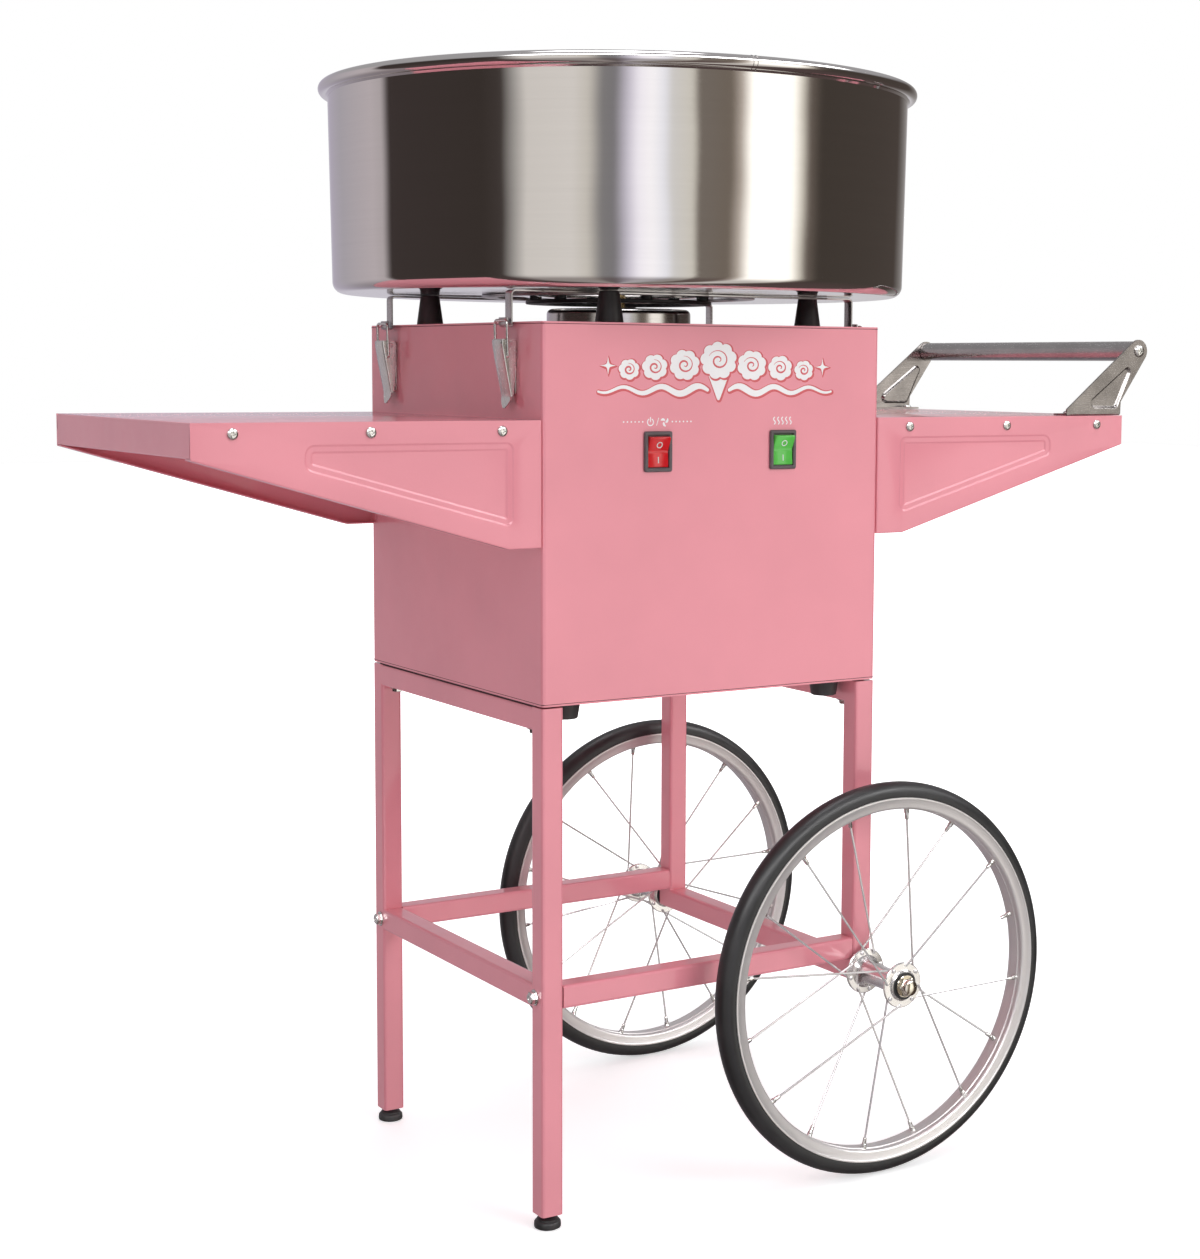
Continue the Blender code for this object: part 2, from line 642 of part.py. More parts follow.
def build_latches(cart):
    base, lever, loop = latch_base_mesh(), latch_lever_mesh(), latch_loop_mesh()
    for name, x, y in corners_of(HALF_X, LATCH_Y):
        turn = 0.0 if x > 0 else math.pi
        way = 1 if x > 0 else -1
        piece(f"latch_base_{name}", base, "chrome", cart, (x, y, 0), turn)
        hinge = pivot(f"lever_pivot_{name}", (x + way * PIVOT_OUT, y, PIVOT_Z), cart, turn)
        piece(f"latch_lever_{name}", lever, "chrome", hinge, (-PIVOT_OUT, 0, -PIVOT_Z))
        link = pivot(f"loop_pivot_{name}", (LINK_OUT - PIVOT_OUT, 0, LINK_Z - PIVOT_Z), hinge)
        piece(f"latch_loop_{name}", loop, "chrome", link, (-LINK_OUT, 0, -LINK_Z))


# ---------------------------------------------------------------- the bowl
def bowl_profile():
    """The sheet's outer face from the centre hole up to the rolled bead, and back down inside."""
    low_radius = BOWL_RADIUS - BOWL_TAPER
    corner = (low_radius - BOWL_CORNER, BOWL_BOTTOM + BOWL_CORNER)
    bead = (BOWL_RADIUS + 0.0015, BOWL_WALL_TOP + BEAD_RADIUS - 0.001)
    outside = [(BOWL_HOLE, BOWL_BOTTOM)] + arc(corner, BOWL_CORNER, -90, 0, 3)
    outside += arc(bead, BEAD_RADIUS, -70, 170, 5)
    inside = [(BOWL_RADIUS - BOWL_SHEET, BOWL_WALL_TOP)]
    inside += arc(corner, BOWL_CORNER - BOWL_SHEET, 0, -90, 2) + [(BOWL_HOLE, BOWL_BOTTOM + BOWL_SHEET)]
    return outside + inside


def hook_frame_mesh():
    """Two cross straps joined by a ring under the bowl, with hooks at their ends for the loops."""
    low, high = HOOK_LEVEL
    ring = turned([(0.110, low), (0.124, low), (0.124, high), (0.110, high)], 24)
    middle = (low + high) / 2
    strap_out = HALF_X + HOOK_OUT
    hook = [
        (strap_out - 0.004, middle), (strap_out, middle - 0.002), (strap_out, 0.7610),
        (strap_out + 0.0012, 0.7585), (strap_out + 0.0040, 0.7585), (strap_out + 0.0050, 0.7610),
        (strap_out + 0.0050, 0.7640),
    ]  # fmt: skip
    pieces = []
    for side in (-1, 1):
        y = side * LATCH_Y
        pieces.append(block((-strap_out + 0.003, strap_out - 0.003), (y - 0.0055, y + 0.0055), (low, high)))
        for way in (-1, 1):
            turned_path = [(way * x, z) for x, z in hook]
            pieces.append(prism(ribbon(turned_path, HOOK_SHEET), 1, y - 0.0055, y + 0.0055))
            pieces.append(prism(ribbon(turned_path[3:], HOOK_SHEET), 1, y - 0.0075, y + 0.0075))
    return combined(ring, pieces)


def build_bowl(cart):
    lift = pivot("bowl_lift", (0, 0, BOWL_BOTTOM), cart)
    down = (0, 0, -BOWL_BOTTOM)
    piece("bowl", turned(bowl_profile(), 44), "polished_steel", lift, down)
    piece("hook_frame", hook_frame_mesh(), "brushed_steel", lift, down)

    cone_height = BOWL_BOTTOM - CABINET_TOP - 2 * GAP
    cone = turned([(0.0, 0.0), (0.0120, 0.0), (0.0082, cone_height), (0.0, cone_height)], 12)
    for i, name in enumerate(("front_right", "back_right", "back_left", "front_left")):
        angle = math.radians(SUPPORT_TURN + 90 * i)
        place = (SUPPORT_CIRCLE * math.cos(angle), SUPPORT_CIRCLE * math.sin(angle), CABINET_TOP + GAP)
        piece(f"bowl_support_{name}", cone, "black_rubber", cart, place)

    outer, shoulder, hole, thickness = 0.0655, 0.0045, 0.022, 0.001
    seat = CABINET_TOP + GAP
    top = seat + 0.0150
    corner = (outer - shoulder, top - shoulder)
    dish = [(outer, seat)] + arc(corner, shoulder, 0, 90, 2) + [(hole, top), (hole, top - thickness)]
    dish += arc(corner, shoulder - thickness, 90, 0, 1) + [(outer - thickness, seat)]
    piece("splash_dish", turned(dish, 28), "polished_steel", cart)


# ---------------------------------------------------------------- the drive and the spinning head
def build_drive(cart):
    """A motor hung from the cabinet's top on four posts, and the shaft that carries the head."""
    body = [
        (0.0, 0.590), (0.014, 0.590), (0.014, 0.598), (0.042, 0.598), (0.046, 0.602),
        (0.046, MOTOR_TOP - 0.003), (0.0, MOTOR_TOP - 0.003),
    ]  # fmt: skip
    plate_top = (MOTOR_TOP - 0.004, MOTOR_TOP)
    plate = block((-0.055, 0.055), (-0.055, 0.055), plate_top, 2, 0.006)
    post_top = CABINET_TOP - COVER - GAP
    posts = [
        rod((x, y, MOTOR_TOP - 0.002), (x, y, post_top), 0.005, 8)
        for _, x, y in corners_of(MOTOR_POST, MOTOR_POST)
    ]
    brush_block = block((0.0150, 0.0400), (-0.012, 0.012), (MOTOR_TOP - 0.002, 0.744))
    bore = rod((0, 0, 0.655), (0, 0, MOTOR_TOP + 0.01), SHAFT_BORE, 12)
    motor = combined(turned(body, 20), [plate, joined(posts), brush_block], [bore])
    piece("motor", motor, "cast_metal", cart)

    head = pivot("spinner_axis", (0, 0, 0), cart)
    shaft = rod((0, 0, 0.6565), (0, 0, HEAD_BOTTOM + 0.0140), SHAFT_RADIUS, 12)
    rings = [rod((0, 0, z), (0, 0, z + 0.009), 0.0135, 14) for z in (0.708, 0.724)]
    piece("motor_shaft", combined(shaft, rings), "brass", head)

    base = [
        (SHAFT_BORE, 0.0), (0.0600, 0.0), (0.0630, 0.0025), (0.0630, 0.0090), (0.0615, 0.0090),
        (0.0600, 0.0025), (0.0140, 0.0025), (0.0130, 0.0140), (SHAFT_BORE, 0.0140),
    ]  # fmt: skip
    place = (0, 0, HEAD_BOTTOM)
    piece("spinner_base", turned(base, 24), "aluminium", head, place)
    element = turned(arc((0.0505, 0.0150), 0.0042, 0, 300, 5), 24)
    piece("heating_ring", element, "cast_metal", head, place)
    cover = [
        (0.0190, 0.0480), (0.0220, 0.0480), (0.0230, 0.0345), (0.0600, 0.0300), (0.0635, 0.0275),
        (0.0635, 0.0215), (0.0620, 0.0215), (0.0620, 0.0265), (0.0190, 0.0320),
    ]  # fmt: skip
    piece("spinner_cover", turned(cover, 24), "aluminium", head, place)


# ---------------------------------------------------------------- the trays and the handle
def plate_outline():
    """A tray's side plate, on the right-hand side: level at the top, rising to the tray's end."""
    return [
        (HALF_X + GAP, TRAY_TOP), (TRAY_REACH, TRAY_TOP), (TRAY_REACH, TRAY_TOP - TRAY_LIP - 0.001),
        (HALF_X + PLATE_FLAT, TRAY_TOP - PLATE_DEPTH), (HALF_X + GAP, TRAY_TOP - PLATE_DEPTH),
    ]  # fmt: skip


def side_plate_mesh(side):
    """A plate with a flange turned in along the cabinet's face and along its lower edge."""
    outline = plate_outline()
    (_, top), (end, _), (_, end_low), (knee, low), (root, _) = outline
    slope = (end_low - low) / (end - knee)
    lift = SHEET * math.sqrt(1 + slope * slope)
    flange_end = end - 0.002
    hollow = [
        (root + SHEET, top + 0.01), (end + 0.01, top + 0.01), (end + 0.01, low), (flange_end, low),
        (flange_end, low + slope * (flange_end - knee) + lift), (knee - 0.0001, low + SHEET),
        (root + SHEET, low + SHEET),
    ]  # fmt: skip
    outer = side * HALF_Y
    wall = side * (HALF_Y - SHEET)
    flange = side * (HALF_Y - PLATE_FLANGE)
    beyond = side * (HALF_Y - PLATE_FLANGE - 0.005)
    body = prism(outline, 1, min(outer, flange), max(outer, flange))
    return combined(body, cuts=[prism(hollow, 1, min(wall, beyond), max(wall, beyond))])


def tray_top_mesh():
    """A pan: a level sheet with its long edges and its outer end turned down."""
    half_y = HALF_Y - SHEET - GAP
    root = HALF_X + GAP + SHEET + GAP
    skirt_low = TRAY_TOP - 0.013
    pan = block((root, TRAY_REACH), (-half_y, half_y), (skirt_low, TRAY_TOP))
    hollow_z = (skirt_low - 0.01, TRAY_TOP - SHEET)
    hollow = block((root - 0.01, TRAY_REACH - SHEET), inner((-half_y, half_y), SHEET), hollow_z)
    lip_z = (TRAY_TOP - TRAY_LIP, skirt_low + 0.001)
    lip = block((TRAY_REACH - SHEET, TRAY_REACH), (-half_y, half_y), lip_z)
    return combined(pan, [lip], [hollow])


def bracket_mesh(side):
    """A leaning bracket with a round top around the bar and a foot turned in on the tray."""
    low = TRAY_TOP + GAP
    outline = [(0.3960, low + 0.0050), (0.3950, low), (0.4645, low), (0.4650, low + 0.0130)]
    outline += arc((HANDLE_X, HANDLE_Z), HANDLE_ROUND, -35, 125, 8)
    outer = side * BRACKET_Y
    inside = side * (BRACKET_Y - BRACKET_SHEET)
    foot = side * (BRACKET_Y - 0.018)
    plate = prism(outline, 1, min(outer, inside), max(outer, inside))
    flange = block((0.3960, 0.4640), (min(outer, foot), max(outer, foot)), (low, low + BRACKET_SHEET))
    screw_y = side * (BRACKET_Y - 0.010)
    screw_holes = [
        rod((x, screw_y, low - 0.01), (x, screw_y, low + 0.01), 0.0025, 10) for x in (0.406, 0.4545)
    ]
    bar_hole = rod((HANDLE_X, outer - 0.01, HANDLE_Z), (HANDLE_X, outer + 0.01, HANDLE_Z), 0.0030, 12)
    return combined(plate, [flange], [joined(screw_holes), bar_hole])


def build_trays(cart):
    """The left tray is the right one turned half round, so its front plate is the back plate's shape."""
    top = tray_top_mesh()
    plates = {side: side_plate_mesh(side) for side in (-1, 1)}
    for name, turn in (("right", 0.0), ("left", math.pi)):
        front = -1 if turn == 0.0 else 1
        piece(f"tray_top_{name}", top, "pink_paint", cart, turn=turn)
        piece(f"tray_plate_front_{name}", plates[front], "pink_paint", cart, turn=turn)
        piece(f"tray_plate_back_{name}", plates[-front], "pink_paint", cart, turn=turn)

    piece("handle_bracket_front", bracket_mesh(-1), "brushed_steel", cart)
    piece("handle_bracket_back", bracket_mesh(1), "brushed_steel", cart)
    half = BRACKET_Y - BRACKET_SHEET - GAP
    bore = HANDLE_RADIUS - SHEET
    section = [(bore, -half), (HANDLE_RADIUS, -half), (HANDLE_RADIUS, half), (bore, half)]
    piece("handle_bar", turned(section, 20, "Y"), "brushed_steel", cart, (HANDLE_X, 0, HANDLE_Z))


# ---------------------------------------------------------------- the whole object
for old in list(bpy.data.objects):
    bpy.data.objects.remove(old)

MATERIALS = {name: make_material(name, *finish) for name, finish in FINISHES.items()}
cart_frame = pivot("cart", (CART_X, 0, 0))
build_stand(cart_frame)
build_levelling_feet(cart_frame)
build_wheels(cart_frame)
build_cabinet(cart_frame)
build_switches(cart_frame)
build_latches(cart_frame)
build_bowl(cart_frame)
build_drive(cart_frame)
build_trays(cart_frame)
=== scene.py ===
"""Looks for the cotton candy machine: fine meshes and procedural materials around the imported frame.

Every shape is given in the cart's frame: metres, +Z up, front panel towards -Y, push handle at +X,
origin on the ground under the cabinet's centre.
"""

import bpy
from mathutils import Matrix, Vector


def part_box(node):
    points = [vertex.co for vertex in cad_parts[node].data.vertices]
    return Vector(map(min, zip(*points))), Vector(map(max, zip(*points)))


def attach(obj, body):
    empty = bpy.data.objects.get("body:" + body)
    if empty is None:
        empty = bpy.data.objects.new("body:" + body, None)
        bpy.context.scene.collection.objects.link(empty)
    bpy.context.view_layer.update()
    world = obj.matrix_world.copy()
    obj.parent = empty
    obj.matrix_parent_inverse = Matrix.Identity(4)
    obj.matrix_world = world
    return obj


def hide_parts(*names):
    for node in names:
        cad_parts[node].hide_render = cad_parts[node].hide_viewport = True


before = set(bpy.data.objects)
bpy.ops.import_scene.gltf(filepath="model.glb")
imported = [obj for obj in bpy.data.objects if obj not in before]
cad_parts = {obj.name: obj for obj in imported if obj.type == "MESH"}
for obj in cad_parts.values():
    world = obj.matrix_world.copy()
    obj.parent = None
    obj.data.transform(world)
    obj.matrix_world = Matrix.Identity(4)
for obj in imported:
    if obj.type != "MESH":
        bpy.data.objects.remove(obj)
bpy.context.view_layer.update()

import math

import bmesh
import bpy
from mathutils import Matrix, Vector

# ---------------------------------------------------------------- dimensions, from the frame
SHELL_LOW, SHELL_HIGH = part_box("cabinet_shell")
CART_X = (SHELL_LOW.x + SHELL_HIGH.x) / 2
HALF_X = (SHELL_HIGH.x - SHELL_LOW.x) / 2
HALF_Y = (SHELL_HIGH.y - SHELL_LOW.y) / 2
CABINET_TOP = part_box("cabinet_top")[1].z
CABINET_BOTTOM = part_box("cabinet_base")[0].z
SHEET = 0.0012
GAP = 0.0003

LEG_LOW, LEG_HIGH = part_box("left_end_frame")
LEG_X = -(LEG_LOW.x + LEG_HIGH.x) / 2 + CART_X
LEG_Y = LEG_HIGH.y - 0.010
TUBE = LEG_HIGH.x - LEG_LOW.x
RAIL_Z = sum(corner.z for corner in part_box("front_rail")) / 2

WHEEL_RADIUS = (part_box("tyre_front")[1].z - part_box("tyre_front")[0].z) / 2
WHEEL_Y = -sum(corner.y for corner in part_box("tyre_front")) / 2
WHEEL_X = sum(corner.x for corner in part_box("tyre_front")) / 2 - CART_X
AXLE_Z = WHEEL_RADIUS
RIM_BED = 0.1540
RIM_EDGE = 0.1655

BOWL_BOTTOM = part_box("bowl")[0].z
BOWL_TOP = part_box("bowl")[1].z
BOWL_RADIUS = 0.260
BEAD_RADIUS = 0.0055

TRAY_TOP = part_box("tray_top_right")[1].z
TRAY_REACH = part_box("tray_top_right")[1].x - CART_X
TRAY_LIP = 0.027
PLATE_DEPTH = TRAY_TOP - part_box("tray_plate_front_right")[0].z

HANDLE_LOW, HANDLE_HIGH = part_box("handle_bar")
HANDLE_X = (HANDLE_LOW.x + HANDLE_HIGH.x) / 2 - CART_X
HANDLE_Z = (HANDLE_LOW.z + HANDLE_HIGH.z) / 2
HANDLE_RADIUS = (HANDLE_HIGH.z - HANDLE_LOW.z) / 2
BRACKET_Y = -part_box("handle_bracket_front")[0].y

SWITCHES = {
    name: (sum(corner.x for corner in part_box(f"switch_frame_{name}")) / 2 - CART_X)
    for name in ("motor", "heat")
}
SWITCH_Z = sum(corner.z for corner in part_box("switch_frame_motor")) / 2
LATCH_Y = sum(corner.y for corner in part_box("latch_base_back_left")) / 2
HEAD_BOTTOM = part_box("spinner_base")[0].z
SIDES = {"front": -1, "back": 1, "left": -1, "right": 1}
CORNERS = [(f"{end}_{side}", SIDES[side], SIDES[end]) for end in ("front", "back") for side in ("left", "right")]


# ---------------------------------------------------------------- materials
class Graph:
    """A node material around one Principled BSDF. node() adds a node and returns its first output."""

    def __init__(self, name):
        self.material = bpy.data.materials.new(name)
        self.material.use_nodes = True
        self.tree = self.material.node_tree
        self.shader = self.tree.nodes["Principled BSDF"]

    def put(self, node, name, value):
        socket = node.inputs[name]
        if isinstance(value, bpy.types.NodeSocket):
            self.tree.links.new(value, socket)
        else:
            socket.default_value = value

    def node(self, kind, settings=None, output=0, **inputs):
        node = self.tree.nodes.new(kind)
        for name, value in (settings or {}).items():
            setattr(node, name, value)
        for name, value in inputs.items():
            self.put(node, int(name[1:]) if name[0] == "_" else name.replace("_", " "), value)
        return node.outputs[output]

    def maths(self, operation, a, b=0.0):
        return self.node("ShaderNodeMath", {"operation": operation}, _0=a, _1=b)

    def noise(self, vector, scale, detail=3.0, roughness=0.55):
        return self.node("ShaderNodeTexNoise", Vector=vector, Scale=scale, Detail=detail, Roughness=roughness)

    def ramp(self, value, low, high, to_low=0.0, to_high=1.0):
        return self.node("ShaderNodeMapRange", _0=value, _1=low, _2=high, _3=to_low, _4=to_high)

    def mix(self, factor, a, b):
        a, b = [(*c, 1.0) if isinstance(c, tuple) else c for c in (a, b)]
        return self.node("ShaderNodeMix", {"data_type": "RGBA"}, output=2, _0=factor, _6=a, _7=b)

    def place(self):
        return self.node("ShaderNodeTexCoord", output=3)

    def stretched(self, vector, scale):
        return self.node("ShaderNodeMapping", Vector=vector, Scale=scale)

    def about(self, centre, axis):
        """The point as (angle, radius, height) about an axis, for marks left by turning and brushing."""
        local = self.node("ShaderNodeMapping", Vector=self.place(), Location=[-c for c in centre])
        split = self.tree.nodes.new("ShaderNodeSeparateXYZ")
        self.tree.links.new(local, split.inputs[0])
        a, b, height = {"Z": (0, 1, 2), "Y": (0, 2, 1)}[axis]
        a, b, height = split.outputs[a], split.outputs[b], split.outputs[height]
        angle = self.maths("ARCTAN2", a, self.maths("MULTIPLY", b, -1.0))  # its join is at the back
        radius = self.maths("SQRT", self.maths("ADD", self.maths("MULTIPLY", a, a), self.maths("MULTIPLY", b, b)))
        return self.node("ShaderNodeCombineXYZ", _0=angle, _1=radius, _2=height)

    def bump(self, height, distance, strength=1.0, normal=None):
        made = self.tree.nodes.new("ShaderNodeBump")
        self.put(made, "Height", height)
        self.put(made, "Distance", distance)
        self.put(made, "Strength", strength)
        if normal is not None:
            self.put(made, "Normal", normal)
        return made.outputs[0]

    def surface(self, **inputs):
        for name, value in inputs.items():
            if isinstance(value, tuple) and len(value) == 3:
                value = (*value, 1.0)
            self.put(self.shader, name.replace("_", " "), value)
        return self.material


def paint(name, colour, roughness=0.34):
    """Powder coat: a fine orange peel, faint clouding, and sheet metal that isn't quite flat."""
    g = Graph(name)
    at = g.place()
    cloud = g.ramp(g.noise(at, 7.0), 0.35, 0.65)
    speck = g.ramp(g.noise(at, 1500.0, 1.0), 0.66, 0.74)
    dusty = tuple(min(1.0, c * 1.10 + 0.015) for c in colour)
    tone = g.mix(cloud, tuple(c * 0.955 for c in colour), tuple(min(1.0, c * 1.03) for c in colour))
    tone = g.mix(g.maths("MULTIPLY", speck, 0.5), tone, dusty)
    peel = g.bump(g.noise(at, 420.0, 2.0), 0.00010, 0.35)
    flat = g.bump(g.noise(at, 9.0, 1.0), 0.0016, 0.22, peel)
    rough = g.ramp(g.noise(at, 60.0), 0.3, 0.7, roughness - 0.04, roughness + 0.06)
    return g.surface(Base_Color=tone, Roughness=rough, Normal=flat, Specular_IOR_Level=0.25,
                     Coat_Weight=0.80, Coat_Roughness=0.06)


def brushed(name, colour, roughness, centre, axis, grain=2600.0, depth=0.00002, ripple=0.0, streak=0.10, uneven=0.10, metallic=1.0):
    """Metal with fine lines that run round an axis, and slow ripples in its reflections."""
    g = Graph(name)
    polar = g.about(centre, axis)
    lines = g.noise(g.stretched(polar, (2.5, grain, grain)), 1.0, 4.0, 0.7)
    broad = g.noise(g.stretched(polar, (1.2, grain / 14, grain / 14)), 1.0, 2.0)
    mark = g.maths("ADD", g.maths("MULTIPLY", lines, 0.6), g.maths("MULTIPLY", broad, 0.4))
    tone = g.mix(g.ramp(mark, 0.3, 0.7), tuple(c * (1 - streak) for c in colour), colour)
    rough = g.ramp(mark, 0.3, 0.7, roughness + 0.7 * uneven, roughness - 0.3 * uneven)
    normal = g.bump(lines, depth, 0.5)
    if ripple:
        normal = g.bump(g.noise(g.stretched(polar, (2.2, 9.0, 9.0)), 1.0, 1.0), ripple, 1.0, normal)
    return g.surface(Base_Color=tone, Metallic=metallic, Roughness=rough, Normal=normal)


def metal(name, colour, roughness, grain=300.0, depth=0.00003, stretch=(1, 1, 1), spread=0.12, metallic=1.0):
    """Plated or rolled metal with a mottled finish, and lines along one direction if stretched."""
    g = Graph(name)
    at = g.stretched(g.place(), stretch)
    mottle = g.noise(at, grain, 4.0, 0.6)
    stain = g.noise(g.place(), 45.0, 3.0)
    tone = g.mix(g.ramp(stain, 0.35, 0.7), colour, tuple(c * (1 - spread) for c in colour))
    rough = g.ramp(mottle, 0.3, 0.7, max(0.03, roughness - 0.05), roughness + 0.08)
    return g.surface(Base_Color=tone, Metallic=metallic, Roughness=rough, Normal=g.bump(mottle, depth, 0.6))


def rubber(name, colour, roughness, dust=0.05):
    g = Graph(name)
    at = g.place()
    grain = g.noise(at, 900.0, 3.0)
    film = g.ramp(g.noise(at, 24.0, 4.0), 0.42, 0.75)
    tone = g.mix(g.maths("MULTIPLY", film, 0.6), colour, tuple(c + dust for c in colour))
    rough = g.ramp(film, 0.0, 1.0, roughness, roughness + 0.14)
    return g.surface(Base_Color=tone, Roughness=rough, Normal=g.bump(grain, 0.00008, 0.5), Specular_IOR_Level=0.5)


def plastic(name, colour, roughness, grain=1600.0, depth=0.00003, see_through=0.0, glow=0.0):
    """Moulded plastic. The lit rockers let some light through."""
    g = Graph(name)
    at = g.place()
    fine = g.noise(at, grain, 2.0)
    cloud = g.ramp(g.noise(at, 130.0, 2.0), 0.3, 0.7)
    tone = g.mix(cloud, tuple(c * 0.86 for c in colour), colour)
    rough = g.ramp(g.noise(at, 220.0), 0.3, 0.7, roughness - 0.03, roughness + 0.05)
    extra = {}
    if see_through:
        extra = {"Subsurface_Weight": see_through, "Subsurface_Radius": Vector((1.0, 1.0, 1.0)),
                 "Subsurface_Scale": 0.002, "Coat_Weight": 0.4, "Coat_Roughness": 0.08}
    if glow:
        extra.update(Emission_Color=(*colour, 1.0), Emission_Strength=glow)
    return g.surface(Base_Color=tone, Roughness=rough, Normal=g.bump(fine, depth, 0.4), **extra)


PINK = (0.785, 0.277, 0.326)
CENTRE = (CART_X, 0.0, 0.0)
WHEEL_CENTRE = (WHEEL_X + CART_X, 0.0, AXLE_Z)
MATERIALS = {
    "pink": paint("pink_powder_coat", PINK),
    "white_print": paint("white_print", (0.88, 0.86, 0.86), 0.45),
    "red_print": paint("red_print", (0.62, 0.085, 0.10), 0.45),
    "bowl": brushed("bowl_stainless", (0.80, 0.785, 0.775), 0.055, CENTRE, "Z", ripple=0.0009, streak=0.05, uneven=0.02),
    "dish": brushed("dish_stainless", (0.62, 0.60, 0.59), 0.16, CENTRE, "Z", grain=1500.0),
    "head": brushed("turned_aluminium", (0.80, 0.80, 0.80), 0.24, CENTRE, "Z", grain=1800.0),
    "rim": brushed("satin_rim", (0.78, 0.755, 0.75), 0.36, WHEEL_CENTRE, "Y", grain=1400.0, streak=0.14, metallic=0.65),
    "spun_hub": brushed("spun_hub", (0.80, 0.78, 0.77), 0.16, WHEEL_CENTRE, "Y", grain=1600.0, metallic=0.88),
    "nut": metal("nut_plate", (0.86, 0.80, 0.68), 0.10, 900.0, spread=0.25),
    "spoke": metal("spoke_wire", (0.84, 0.83, 0.83), 0.20, 900.0, metallic=0.60),
    "zinc": metal("zinc_plate", (0.78, 0.78, 0.76), 0.22, 700.0, spread=0.22),
    "latch": metal("latch_steel", (0.76, 0.75, 0.72), 0.22, 800.0, stretch=(1, 1, 0.12), spread=0.18),
    "bar": metal("bar_stainless", (0.50, 0.485, 0.48), 0.22, 1400.0, stretch=(1, 0.02, 1)),
    # painted shade: the arms' steel is darkened to stand in for the dark studio it mirrors
    "bracket": metal("shaded_bracket_stainless", (0.37, 0.345, 0.335), 0.24, 900.0, stretch=(0.05, 1, 1), spread=0.3),
    "strap": metal("strap_steel", (0.56, 0.55, 0.55), 0.28, 900.0, stretch=(0.06, 1, 1)),
    "cast": metal("cast_metal", (0.24, 0.25, 0.26), 0.50, 500.0, 0.00010),
    "brass": metal("brass_shaft", (0.80, 0.60, 0.30), 0.25, 900.0),
    "tyre": rubber("tyre_rubber", (0.020, 0.020, 0.021), 0.36, 0.018),
    "rubber": rubber("foot_rubber", (0.026, 0.025, 0.026), 0.42),
    "black": plastic("black_plastic", (0.022, 0.022, 0.023), 0.40, 900.0, 0.00008),
    "bezel": plastic("switch_bezel", (0.105, 0.085, 0.090), 0.42, 1200.0, 0.00006),
    "red": plastic("red_rocker", (0.62, 0.010, 0.016), 0.16, see_through=0.35, glow=0.05),
    "green": plastic("green_rocker", (0.10, 0.50, 0.075), 0.16, see_through=0.35, glow=0.10),
    "legend": plastic("legend_white", (0.80, 0.80, 0.78), 0.40),
    # painted shade: the colour of the strips set into the cabinet's seams, which are open gaps that only look dark
    "painted_gap_shade": plastic("painted_gap_shade", (0.060, 0.020, 0.024), 0.70),
}


# ---------------------------------------------------------------- mesh code
def fillet(points, radius, steps=5, closed=True):
    """A path of points with its corners rounded. radius may be one number or one for each point."""
    points = [Vector(p) for p in points]
    radii = radius if isinstance(radius, (list, tuple)) else [radius] * len(points)
    rounded = []
    for i, corner in enumerate(points):
        inside = closed or 0 < i < len(points) - 1
        if not inside or radii[i] <= 0:
            rounded.append(corner)
            continue
        back = points[i - 1] - corner
        ahead = points[(i + 1) % len(points)] - corner
        half = back.angle(ahead) / 2
        bend = radii[i]
        bisector = (back.normalized() + ahead.normalized()).normalized()
        centre = corner + bisector * (bend / math.sin(half))
        first = corner + back.normalized() * (bend / math.tan(half)) - centre
        last = corner + ahead.normalized() * (bend / math.tan(half)) - centre
        reach = first.length
        first.normalize()
        last.normalize()
        rounded += [centre + first.slerp(last, k / steps) * reach for k in range(steps + 1)]
    return rounded


def inset(corners, distance):
    """A 2-D polygon, given anticlockwise, with each side moved inwards."""
    corners = [Vector(c) for c in corners]
    moved = []
    for i, corner in enumerate(corners):
        before = (corner - corners[i - 1]).normalized()
        after = (corners[(i + 1) % len(corners)] - corner).normalized()
        normals = Vector((-before.y, before.x)), Vector((-after.y, after.x))
        across = (normals[0] + normals[1]).normalized()
        moved.append(corner + across * (distance / across.dot(normals[0])))
    return moved


def arc(centre, radius, start, end, count):
    angles = [math.radians(start + (end - start) * i / count) for i in range(count + 1)]
    return [Vector((centre[0] + radius * math.cos(a), centre[1] + radius * math.sin(a))) for a in angles]


def frame_at(origin, out, along=(0, 0, 1)):
    """A matrix whose local Z is out, and whose local Y is along as nearly as it can be."""
    z = Vector(out).normalized()
    y = (Vector(along) - z * z.dot(Vector(along))).normalized()
    x = y.cross(z)
    turn = Matrix((x, y, z)).transposed().to_4x4()
    return Matrix.Translation(origin) @ turn


def upright(origin=(0, 0, 0)):
    return Matrix.Translation(origin)


